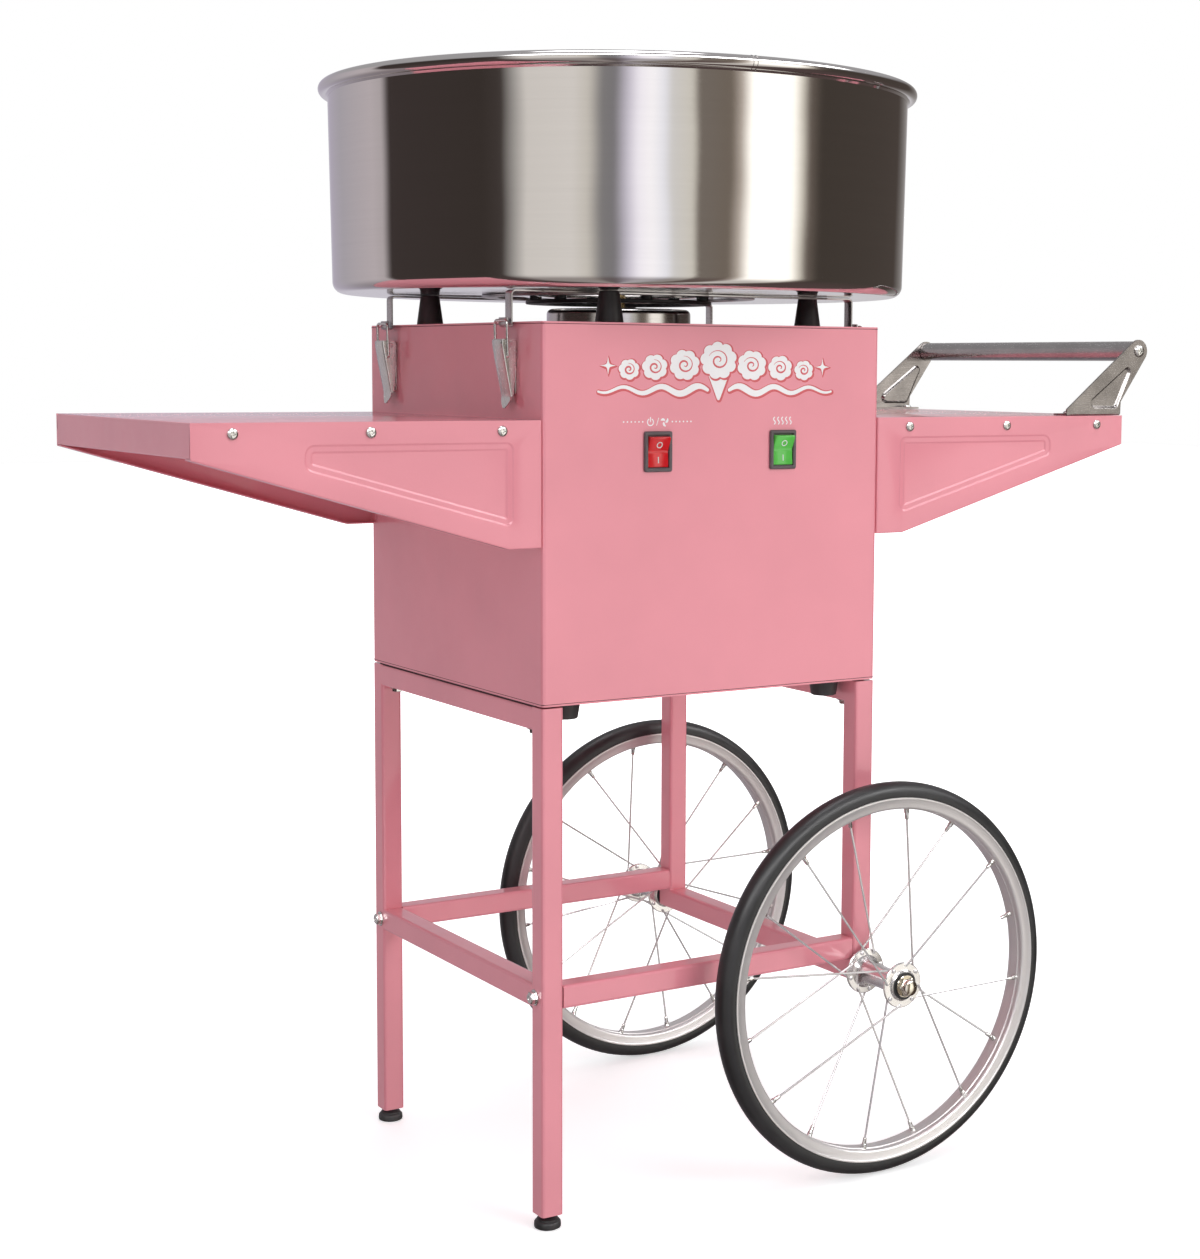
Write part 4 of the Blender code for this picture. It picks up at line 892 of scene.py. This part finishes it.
def build_latch_base(name, at):
    """A plate on the cabinet with two ears for the pin, and two rivets."""
    base = Piece()
    outline = fillet([(-0.0075, 0.7010), (0.0075, 0.7010), (0.0075, 0.7460), (-0.0075, 0.7460)], 0.002, 4)
    face = at @ Matrix(((0, 0, 1, GAP), (1, 0, 0, 0), (0, 1, 0, 0), (0, 0, 0, 1)))
    base.slab(outline, 0.0, SHEET, face)
    ear = [Vector((0.0010, 0.7365)), Vector((0.0065, 0.7387))]
    ear += arc(LATCH_PIVOT, 0.0034, -60, 90, 10) + [Vector((0.0010, 0.7460))]
    for low, high in ((-0.0075, -0.0063), (0.0063, 0.0075)):
        base.loft([[at @ Vector((p.x, y, p.y)) for p in ear] for y in (low, high)])
    out = at.to_3x3() @ Vector((1, 0, 0))
    for z in (0.7065, 0.7250):
        place = at @ Vector((GAP + SHEET, 0, z))
        rivet = [(0.0001, 0.0), (0.0026, 0.0), (0.0024, 0.0006), (0.0015, 0.0012), (0.0001, 0.0014)]
        base.lathe(rivet, 20, frame_at(place, out))
    base.finish(f"latch_plate_{name}", "latch", "cart", "chrome", [f"latch_base_{name}"], 35, edge=0.00015)


def build_latch_lever(name, at):
    """A channel of folded sheet: wide at the pin, its flanges tapering away to a pointed tip."""
    stations = [  # height, out, half width, depth of the flanges
        (0.7468, 0.0142, 0.0093, 0.0106), (0.7450, 0.0150, 0.0093, 0.0128), (0.7425, 0.0148, 0.0093, 0.0132),
        (0.7380, 0.0141, 0.0093, 0.0124), (0.7300, 0.0126, 0.0093, 0.0106), (0.7200, 0.0106, 0.0092, 0.0082),
        (0.7100, 0.0086, 0.0091, 0.0056), (0.7030, 0.0072, 0.0090, 0.0036), (0.6995, 0.0066, 0.0090, 0.0022),
    ]
    lever = Piece()
    rings = []
    for z, out, half, depth in stations:
        bend = min(0.0012, depth * 0.7)
        curve = [(out - depth, -half), (out - bend, -half), (out - bend * 0.3, -half + bend * 0.3), (out, -half + bend)]
        section = curve + [(out, -0.002), (out, 0.002)] + [(x, -y) for x, y in reversed(curve)]
        rings.append([at @ Vector((x, y, z)) for x, y in section])
    rows = lever.loft(rings, caps=False, closed=False)
    previous = rows[-1][3:-3]
    shares = [-1, -0.25, 0.25, 1]
    for z, half, out in ((0.6965, 0.0080, 0.0068), (0.6930, 0.0054, 0.0077), (0.6900, 0.0018, 0.0088)):
        row = [lever.bm.verts.new(at @ Vector((out, share * half, z))) for share in shares]
        for i in range(3):
            lever.bm.faces.new((previous[i], previous[i + 1], row[i + 1], row[i]))
        previous = row
    bmesh.ops.recalc_face_normals(lever.bm, faces=lever.bm.faces)
    outwards = at.to_3x3() @ Vector((1, 0, 0))
    front = max(lever.bm.faces, key=lambda face: abs(face.normal.dot(outwards)) * face.calc_area())
    if front.normal.dot(outwards) < 0:
        bmesh.ops.reverse_faces(lever.bm, faces=lever.bm.faces)
    lever.finish(f"latch_handle_{name}", "latch", f"lever_{name}", "chrome", [f"latch_lever_{name}"], 40, thick=0.0010)

    pin = Piece()
    axis = frame_at(at @ Vector((LATCH_PIVOT[0], 0, LATCH_PIVOT[1])), at.to_3x3() @ Vector((0, 1, 0)), (0, 0, 1))
    reach = 0.0093
    profile = [(0.0001, -reach - 0.0006), (0.0017, -reach - 0.0005), (0.0021, -reach), (0.0014, -reach + 0.0002)]
    pin.lathe(profile + [(r, -h) for r, h in reversed(profile)], 20, axis)
    pin.finish(f"latch_pin_{name}", "zinc", f"lever_{name}", "chrome", smooth=35)


# ---------------------------------------------------------------- switches and printed marks
def rounded_box(half_x, half_z, radius, steps=4):
    return fillet([(-half_x, -half_z), (half_x, -half_z), (half_x, half_z), (-half_x, half_z)], radius, steps)


def build_switches():
    pivot_y = -HALF_Y - GAP - 0.0002
    for name, x in SWITCHES.items():
        at = frame_at((x, pivot_y, SWITCH_Z), (0, -1, 0))
        bezel = Piece()
        rings = []
        for half_x, half_z, radius, level in (
            (0.0135, 0.0170, 0.0018, -0.0002), (0.0135, 0.0170, 0.0018, 0.0014), (0.0128, 0.0163, 0.0014, 0.0022),
            (0.0108, 0.0143, 0.0006, 0.0022), (0.0104, 0.0139, 0.0004, 0.0018), (0.0104, 0.0138, 0.0004, -0.0070),
        ):
            rings.append([at @ Vector((p.x, p.y, level)) for p in rounded_box(half_x, half_z, radius)])
        bezel.loft(rings)
        bezel.finish(f"switch_bezel_{name}", "bezel", "cart", "switch_plastic", [f"switch_frame_{name}"], 35)
        build_rocker(name, at)


def build_rocker(name, at):
    """A shallow V with a steeper lip at its raised end, and its ring and bar marks."""
    tilt = math.radians(9)
    turn = at @ Matrix.Rotation(tilt, 4, "X")
    profile = [(0.0024, 0.0131), (0.0036, 0.0124), (0.0034, 0.0108), (0.0010, 0.0018), (0.0006, 0.0), (0.0010, -0.0018)]
    profile += [(0.0032, -0.0124), (0.0026, -0.0131), (-0.0050, -0.0123), (-0.0058, 0.0), (-0.0050, 0.0123)]
    rocker = Piece()
    rings = []
    for share, x in ((0.93, -0.0100), (1.0, -0.0095), (1.0, 0.0095), (0.93, 0.0100)):
        rings.append([turn @ Vector((x, z * share, (out - 0.0003) if share < 1 and out > 0 else out)) for out, z in profile])
    rocker.loft(rings)
    colours = {"motor": ("red", "red_plastic"), "heat": ("green", "green_plastic")}
    material, slot = colours[name]
    rocker.finish(f"rocker_cap_{name}", material, f"rocker_{name}", slot, [f"rocker_{name}"], 28, edge=0.00035)

    marks = Piece()
    off = math.atan2(0.0030, 0.0120)
    upper_face = turn @ Matrix.Translation((0, 0.0060, 0.00225)) @ Matrix.Rotation(off, 4, "X")
    lower_face = turn @ Matrix.Translation((0, -0.0068, 0.00215)) @ Matrix.Rotation(-off * 0.85, 4, "X")
    ring = [(0.0021, -0.0006), (0.0028, -0.0006), (0.0028, 0.00015), (0.0021, 0.00015)]
    marks.lathe(ring, 40, upper_face)
    marks.slab([(-0.0004, -0.0026), (0.0004, -0.0026), (0.0004, 0.0026), (-0.0004, 0.0026)], -0.0006, 0.00015, lower_face)
    marks.finish(f"rocker_marks_{name}", "legend", f"rocker_{name}")


def stroke(path, widths, round_ends=5):
    """The outline of a brush stroke along a 2-D path."""
    points = [Vector(p) for p in path]
    left, right = [], []
    for i, point in enumerate(points):
        before = (point - points[i - 1]).normalized() if i else (points[1] - point).normalized()
        after = (points[i + 1] - point).normalized() if i < len(points) - 1 else before
        along = (before + after).normalized()
        across = Vector((-along.y, along.x)) * widths[i] / 2
        left.append(point + across)
        right.append(point - across)
    first = points[0] - points[1]
    last = points[-1] - points[-2]
    start = [points[0] + Matrix.Rotation(math.radians(90 - 180 * k / round_ends), 2) @ first.normalized() * widths[0] / 2 for k in range(1, round_ends)]
    end = [points[-1] + Matrix.Rotation(math.radians(90 - 180 * k / round_ends), 2) @ last.normalized() * widths[-1] / 2 for k in range(1, round_ends)]
    return left + end + right[::-1] + start


FRONT = Matrix(((1, 0, 0, 0), (0, 0, -1, -HALF_Y), (0, 1, 0, 0), (0, 0, 0, 1)))  # local X and Y on the front


def cloud(centre, size, lobes, start):
    """The outline of a puff of floss."""
    outline = []
    for k in range(96):
        a = 2 * math.pi * k / 96
        reach = size * (0.84 + 0.16 * abs(math.sin(lobes * a / 2 + start)) ** 0.6)
        outline.append(Vector((centre[0] + reach * math.cos(a), centre[1] + 0.86 * reach * math.sin(a))))
    return outline


def star(centre, size):
    """A four-pointed sparkle."""
    outline = []
    for k in range(32):
        a = 2 * math.pi * k / 32
        reach = size / (1 + 2.4 * abs(math.sin(2 * a)) ** 0.8)
        outline.append(Vector((centre[0] + reach * math.cos(a), centre[1] + reach * math.sin(a))))
    return outline


def ribbon_wave(way, low, high, swing, width):
    """A tapering wave along the foot of the ornament."""
    path, widths = [], []
    for k in range(49):
        t = k / 48
        x = low + (high - low) * t
        path.append((way * x, 0.7055 + swing * math.sin(2.9 * 2 * math.pi * t) * (1 - 0.35 * t)))
        widths.append(width * (1 - 0.72 * t) * min(1.0, 0.45 + 4 * t))
    return stroke(path, widths)[::-1]


def spiral(centre, size, turns, way):
    """A curl of spun sugar, wound outwards."""
    path, widths = [], []
    for k in range(49):
        t = k / 48
        a = math.radians(-60) + way * turns * 2 * math.pi * t
        path.append((centre[0] + way * size * (0.10 + 0.90 * t) * math.cos(a), centre[1] + 0.86 * size * (0.10 + 0.90 * t) * math.sin(a)))
        widths.append(0.0016 * math.sin(math.pi * (0.10 + 0.84 * t)))
    return stroke(path, widths)


def grown(outline, amount):
    """An outline moved outwards along its own normals."""
    made = []
    for i, point in enumerate(outline):
        along = (outline[(i + 1) % len(outline)] - outline[i - 1]).normalized()
        made.append(point + Vector((along.y, -along.x)) * amount)
    return made


def build_ornament():
    """A row of floss puffs over two waving ribbons, the middle one on a cone: white, with a red edge."""
    puffs = [(0.0, 0.7305, 0.0185, 9)]
    for way in (1, -1):
        puffs += [(way * 0.034, 0.7265, 0.0150, 8), (way * 0.0635, 0.7245, 0.0125, 7), (way * 0.0885, 0.7225, 0.0100, 7)]
    shapes = [ribbon_wave(way, 0.011, 0.118, 0.0034, 0.0066) for way in (1, -1)]
    shapes += [star((way * 0.1085, 0.7255), 0.0075) for way in (1, -1)]
    shapes.append(fillet([(-0.0120, 0.7220), (0.0, 0.6945), (0.0120, 0.7220)], [0, 0.0015, 0], 4))
    shapes = [(outline, grown(outline, 0.0014)) for outline in shapes]
    for x, z, size, lobes in reversed(puffs):
        shapes.append([cloud((x, z), reach, lobes, 0.4) for reach in (size, size + 0.0015)])
    edge, print_ = Piece(), Piece()
    shadow = Vector((0.0006, -0.0006))
    for i, (outline, around_it) in enumerate(shapes):
        level = 0.00006 + i * 0.00001
        edge.slab([p + shadow for p in around_it], 0.00002, level, FRONT)
        print_.slab(outline, 0.00002, level + 0.000004, FRONT)
    for x, z, size, _ in puffs:
        edge.slab(spiral((x, z), size * 0.58, 1.6, -1 if x < 0 else 1), 0.00002, level + 0.00001, FRONT)
    edge.finish("panel_ornament_edge", "red_print", "cart", smooth=20)
    print_.finish("panel_ornament", "white_print", "cart", smooth=20)


def build_icons():
    """Plain signs above the switches: a ring with a bar, a fan, rows of dots, and waves for the heat."""
    level = 0.6790
    icons = Piece()

    def draw(path, width):
        icons.slab(stroke(path, [width] * len(path)), 0.00002, 0.00010, FRONT)

    def dots(first, last, count):
        for k in range(count):
            x = first + (last - first) * k / (count - 1)
            icons.slab(arc((x, level), 0.0007, 0, 345, 23), 0.00002, 0.00010, FRONT)

    motor = SWITCHES["motor"]
    x = motor - 0.0070
    draw(arc((x, level - 0.0003), 0.0029, 125, 415, 24), 0.0009)
    draw([(x, level + 0.0002), (x, level + 0.0020), (x, level + 0.0036)], 0.0009)
    x = motor + 0.0070
    for k in range(3):
        blade = []
        for i in range(9):
            a = math.radians(120 * k + 90 + 70 * i / 8)
            r = 0.0007 + 0.0030 * i / 8
            blade.append((x + r * math.cos(a), level + r * math.sin(a)))
        widths = [0.0005 + 0.0016 * math.sin(math.pi * i / 9) for i in range(9)]
        icons.slab(stroke(blade, widths), 0.00002, 0.00010, FRONT)
    draw([(motor - 0.0010, level - 0.003), (motor, level), (motor + 0.0010, level + 0.003)], 0.0006)
    for way in (1, -1):
        dots(motor + way * 0.0145, motor + way * 0.0330, 6)
    for k in range(-2, 3):
        x = SWITCHES["heat"] + k * 0.0042
        wave = [(x + 0.0009 * math.sin(2 * math.pi * t / 12), level - 0.0030 + 0.0060 * t / 12) for t in range(13)]
        draw(wave, 0.0010)
    icons.finish("switch_icons", "white_print", "cart", smooth=20)


# ---------------------------------------------------------------- the cabinet and the stand
def build_cabinet_details():
    for node in ("cabinet_shell", "cabinet_top", "cabinet_base", "left_end_frame", "right_end_frame", "front_rail", "back_rail"):
        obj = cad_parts[node]
        dress(obj, "pink", 25)
    dress(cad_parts["power_inlet"], "black", 30)

    # Dark strips set into the gaps under the top, over the base and between the legs and the base: painted shade in the
    # seams
    seams = Piece()
    inner = SHEET + GAP
    for z in (CABINET_TOP - 0.00175, CABINET_BOTTOM + 0.00175):
        for side in (-1, 1):
            near, far = side * (HALF_Y - 0.0005), side * (HALF_Y - inner)
            seams.box((-HALF_X + 0.0012, HALF_X - 0.0012), (near, far), (z - 0.0005, z + 0.0005))
            near, far = side * (HALF_X - 0.0005), side * (HALF_X - inner)
            seams.box((near, far), (-HALF_Y + 0.0012, HALF_Y - 0.0012), (z - 0.0005, z + 0.0005))
    for side in (-1, 1):
        inner, outer = side * (LEG_X - TUBE / 2 + 0.001), side * (LEG_X + TUBE / 2 - 0.001)
        seams.box((inner, outer), (-LEG_Y + 0.004, LEG_Y - 0.004), (LEG_HIGH.z - 0.0003, CABINET_BOTTOM + 0.0003))
    seams.finish("cabinet_seam_shade", "painted_gap_shade", "cart")

    profile = [(0.00005, 0.0004), (0.0105, 0.0), (0.0114, 0.0006), (0.0134, 0.0130), (0.0137, 0.0144), (0.0133, 0.0148)]
    for name, x_side, y_side in CORNERS:
        foot = Piece()
        at = upright((x_side * 0.134, y_side * 0.140, CABINET_BOTTOM - GAP - 0.0148))
        foot.lathe(profile + [(0.00005, 0.0148)], 48, at)
        foot.finish(f"cabinet_cone_foot_{name}", "rubber", "cart", "black_rubber", [f"cabinet_foot_{name}"], 45)

    hoods = Piece()
    for x in (-0.085, -0.020):
        for row in range(7):
            z = 0.625 + 0.013 * row
            rings = []
            for share in (-1.0, -0.94, -0.8, 0.8, 0.94, 1.0):
                bulge = 0.0038 * (1 - abs(share) ** 8) + 0.0001
                path = [(0.0, 0.0050), (bulge * 0.55, 0.0040), (bulge * 0.92, 0.0018), (bulge, -0.0010)]
                back = [(bulge - 0.0008 if bulge > 0.001 else 0.0, -0.0010), (0.0, 0.0036)]
                rings.append([Vector((x + share * 0.0258, HALF_Y + out, z + up)) for out, up in path + back])
            hoods.loft(rings)
    hoods.finish("louvre_hoods", "pink", "cart", "pink_paint", smooth=50)

    screws = Piece()
    for x in (-0.155, 0.155):
        for z in (CABINET_TOP - 0.009, CABINET_BOTTOM + 0.009):
            screws.screw(frame_at((x, HALF_Y + 0.0001, z), (0, 1, 0)), 0.0036, 0.0018)
    for dx in (-0.0200, 0.0200):
        screws.screw(frame_at((0.105 + dx, HALF_Y + 0.0001, 0.500), (0, 1, 0)), 0.0028, 0.0015)
    screws.finish("back_screws", "zinc", "cart", "chrome", smooth=40)


def build_stand_details():
    bolts = Piece()
    left = -LEG_X - TUBE / 2
    for y_side in (-1, 1):
        bolts.hexagon(frame_at((left, y_side * (LEG_Y - 0.003), RAIL_Z), (-1, 0, 0)), 0.0095, 0.0045, 0.0068)
        for x_side in (-1, 1):
            under = (x_side * LEG_X, y_side * (LEG_Y - 0.022), 0.4240)
            bolts.hexagon(frame_at(under, (0, 0, -1), (0, 1, 0)), 0.0085, 0.0035, 0.0065)
    bolts.finish("stand_bolts", "zinc", "cart", "chrome", smooth=35)

    for name in ("front", "back"):
        foot = Piece()
        profile = [(0.00005, 0.0), (0.0102, 0.0), (0.0112, 0.0006), (0.0115, 0.0018), (0.0113, 0.0050), (0.0106, 0.0060)]
        profile += [(0.0092, 0.0066), (0.0090, 0.0080), (0.0046, 0.0092), (0.0040, 0.0096), (0.0040, 0.0150), (0.00005, 0.0150)]
        foot.lathe(profile, 48, upright((-LEG_X, SIDES[name] * LEG_Y, 0)))
        foot.finish(f"foot_pad_{name}", "rubber", f"foot_{name}", "black_rubber", [f"levelling_foot_{name}"], 45)


# ---------------------------------------------------------------- studio, camera
def build_floor():
    bm = bmesh.new()
    bmesh.ops.create_grid(bm, x_segments=8, y_segments=8, size=14.0)
    mesh = bpy.data.meshes.new("studio_floor")
    bm.to_mesh(mesh)
    bm.free()
    floor = bpy.data.objects.new("studio_floor", mesh)
    floor.visible_glossy = False
    bpy.context.scene.collection.objects.link(floor)
    g = Graph("studio_floor")
    tone = g.mix(g.ramp(g.noise(g.place(), 3.0), 0.3, 0.7), (0.90, 0.90, 0.90), (0.93, 0.93, 0.93))
    far = g.node("ShaderNodeVectorMath", {"operation": "LENGTH"}, output=1, _0=g.place())
    glow = g.maths("MULTIPLY", g.ramp(far, 0.5, 2.4, 0.48, 1.0), g.node("ShaderNodeLightPath"))
    mesh.materials.append(g.surface(
        Base_Color=tone, Roughness=0.75, Emission_Color=(1.0, 1.0, 1.0), Emission_Strength=glow,
    ))


def build_lights():
    target = Vector((0, 0, 0.55))
    for name, place, size, power, colour in (
        ("key", (1.1, -3.2, 1.9), 1.8, 44.0, (1.0, 0.99, 0.98)),
        ("top", (0.2, -0.4, 3.4), 2.4, 28.0, (1.0, 1.0, 1.0)),
        ("left_fill", (-3.2, -0.9, 1.3), 1.6, 3.0, (0.82, 0.84, 1.0)),
        ("back", (0.8, 3.2, 2.0), 2.0, 22.0, (1.0, 1.0, 1.0)),
    ):
        light = bpy.data.lights.new(name, "AREA")
        light.size = size
        light.energy = power
        light.color = colour
        obj = bpy.data.objects.new(name, light)
        obj.location = place
        obj.rotation_euler = (target - Vector(place)).to_track_quat("-Z", "Y").to_euler()
        obj.visible_glossy = False
        bpy.context.scene.collection.objects.link(obj)


def build_world():
    """White for the camera, an even soft light for the rest, and a studio of light and dark panels in reflections."""
    world = bpy.data.worlds.new("studio")
    bpy.context.scene.world = world
    world.use_nodes = True
    world.cycles.sampling_method = "NONE"
    tree = world.node_tree
    tree.nodes.clear()

    def add(kind, **settings):
        node = tree.nodes.new(kind)
        for key, value in settings.items():
            setattr(node, key, value)
        return node

    def link(a, b):
        tree.links.new(a, b)

    def maths(operation, a, b=None):
        node = add("ShaderNodeMath", operation=operation)
        for i, value in enumerate((a, b)):
            if isinstance(value, (int, float)):
                node.inputs[i].default_value = value
            elif value is not None:
                link(value, node.inputs[i])
        return node.outputs[0]

    direction = add("ShaderNodeTexCoord").outputs["Generated"]
    split = add("ShaderNodeSeparateXYZ")
    link(direction, split.inputs[0])
    x, y, z = split.outputs
    turn = maths("MULTIPLY_ADD", maths("ARCTAN2", x, y), 0.5 / math.pi)
    turn.node.inputs[2].default_value = 0.5

    ramp = add("ShaderNodeValToRGB")
    link(turn, ramp.inputs[0])
    elements = ramp.color_ramp.elements
    while len(elements) < len(STUDIO):
        elements.new(1.0)
    for element, (degrees, colour) in zip(elements, STUDIO):
        element.position = degrees / 360
        element.color = (*colour, 1)

    def share(of, start, end, amount=1.0):
        made = add("ShaderNodeMapRange", interpolation_type="SMOOTHSTEP")
        link(of, made.inputs[0])
        for i, value in enumerate((start, end, 0.0, amount)):
            made.inputs[i + 1].default_value = value
        return made.outputs[0]

    def blended(below, colour, factor):
        made = add("ShaderNodeMix", data_type="RGBA")
        link(factor, made.inputs[0])
        link(below, made.inputs[6])
        made.inputs[7].default_value = (*colour, 1)
        return made.outputs[2]

    walls = blended(ramp.outputs[0], (0.10, 0.065, 0.065), share(z, -0.12, -0.75, 0.65))
    above = blended(walls, (0.40, 0.39, 0.40), share(z, 0.20, 0.44))
    height = maths("MULTIPLY", share(z, 0.44, 0.50), share(z, 0.68, 0.62))
    above = blended(above, (8.0, 8.0, 8.0), maths("MULTIPLY", height, share(y, -0.15, -0.35)))
    above = blended(above, (7.0, 7.0, 7.2), share(z, 0.95, 0.98))

    rays = add("ShaderNodeLightPath")
    even = add("ShaderNodeMix", data_type="RGBA")
    link(rays.outputs["Is Glossy Ray"], even.inputs[0])
    even.inputs[6].default_value = (0.52, 0.52, 0.54, 1)
    link(above, even.inputs[7])
    seen = add("ShaderNodeMix", data_type="RGBA")
    link(rays.outputs["Is Camera Ray"], seen.inputs[0])
    link(even.outputs[2], seen.inputs[6])
    seen.inputs[7].default_value = (1.0, 1.0, 1.0, 1)
    background = add("ShaderNodeBackground")
    link(seen.outputs[2], background.inputs[0])
    output = add("ShaderNodeOutputWorld")
    link(background.outputs[0], output.inputs[0])


CAMERA_TURN = 32.87543  # the view's heading from +Y towards +X, in degrees
CAMERA_TILT = -5.51237
CAMERA_ROLL = 0.39548
CAMERA_PLACE = (-1.02437, -1.74595, 0.7252)
FOCAL = 2202.43 / 1259  # focal length as a share of the picture's long side
OPTICAL_CENTRE = (712.63 / 1200, 579.21 / 1259)
PICTURE = (1200, 1259)
STUDIO = [  # what the metal mirrors: a heading in degrees, from -Y by way of -X, and how bright the studio is there
    (0, (0.27, 0.24, 0.21)), (2, (0.74, 0.70, 0.62)), (10, (0.76, 0.74, 0.72)), (13, (0.98, 0.98, 1.05)),
    (18, (1.18, 1.15, 1.18)), (23, (1.08, 1.04, 1.12)), (27, (0.70, 0.66, 0.76)), (32, (0.23, 0.22, 0.23)),
    (37, (0.25, 0.24, 0.24)), (42, (0.68, 0.64, 0.58)), (48, (0.78, 0.74, 0.70)), (66, (0.74, 0.70, 0.66)),
    (71, (0.40, 0.38, 0.36)), (76, (0.060, 0.048, 0.044)), (84, (0.046, 0.036, 0.032)), (130, (0.052, 0.040, 0.038)),
    (134.5, (0.50, 0.45, 0.46)), (142, (0.55, 0.49, 0.51)), (170, (0.44, 0.41, 0.45)), (190, (0.46, 0.42, 0.50)),
    (200, (0.58, 0.55, 0.62)), (218, (0.60, 0.58, 0.60)), (228, (0.30, 0.28, 0.27)), (246, (0.075, 0.060, 0.052)),
    (306, (0.062, 0.050, 0.042)), (312, (0.16, 0.13, 0.11)), (316, (0.85, 0.80, 0.70)), (320, (1.5, 1.45, 1.35)),
    (338, (1.6, 1.55, 1.45)), (343, (0.55, 0.48, 0.42)), (347, (0.19, 0.155, 0.125)), (356, (0.20, 0.17, 0.145)),
]


def build_camera():
    turn, tilt, roll = map(math.radians, (CAMERA_TURN, CAMERA_TILT, CAMERA_ROLL))
    forward = Vector((math.sin(turn) * math.cos(tilt), math.cos(turn) * math.cos(tilt), math.sin(tilt)))
    level = Vector((math.cos(turn), -math.sin(turn), 0))
    up = level.cross(forward)
    right = level * math.cos(roll) + up * math.sin(roll)
    up = up * math.cos(roll) - level * math.sin(roll)
    data = bpy.data.cameras.new("camera")
    data.sensor_width = 36.0
    data.lens = FOCAL * data.sensor_width
    long_side = max(PICTURE)
    data.shift_x = (0.5 - OPTICAL_CENTRE[0]) * PICTURE[0] / long_side
    data.shift_y = (OPTICAL_CENTRE[1] - 0.5) * PICTURE[1] / long_side
    camera = bpy.data.objects.new("camera", data)
    bpy.context.scene.collection.objects.link(camera)
    place = Vector(CAMERA_PLACE) + Vector((CART_X, 0, 0))
    camera.matrix_world = Matrix.Translation(place) @ Matrix((right, up, -forward)).transposed().to_4x4()
    bpy.context.scene.camera = camera


build_wheels()
build_bowl()
build_under_bowl()
build_supports()
build_head()
build_tray_plates()
build_tray_tops()
build_handle()
build_latches()
build_switches()
build_ornament()
build_icons()
build_cabinet_details()
build_stand_details()
build_floor()
build_lights()
build_world()
build_camera()
bpy.context.scene.view_settings.view_transform = "Standard"
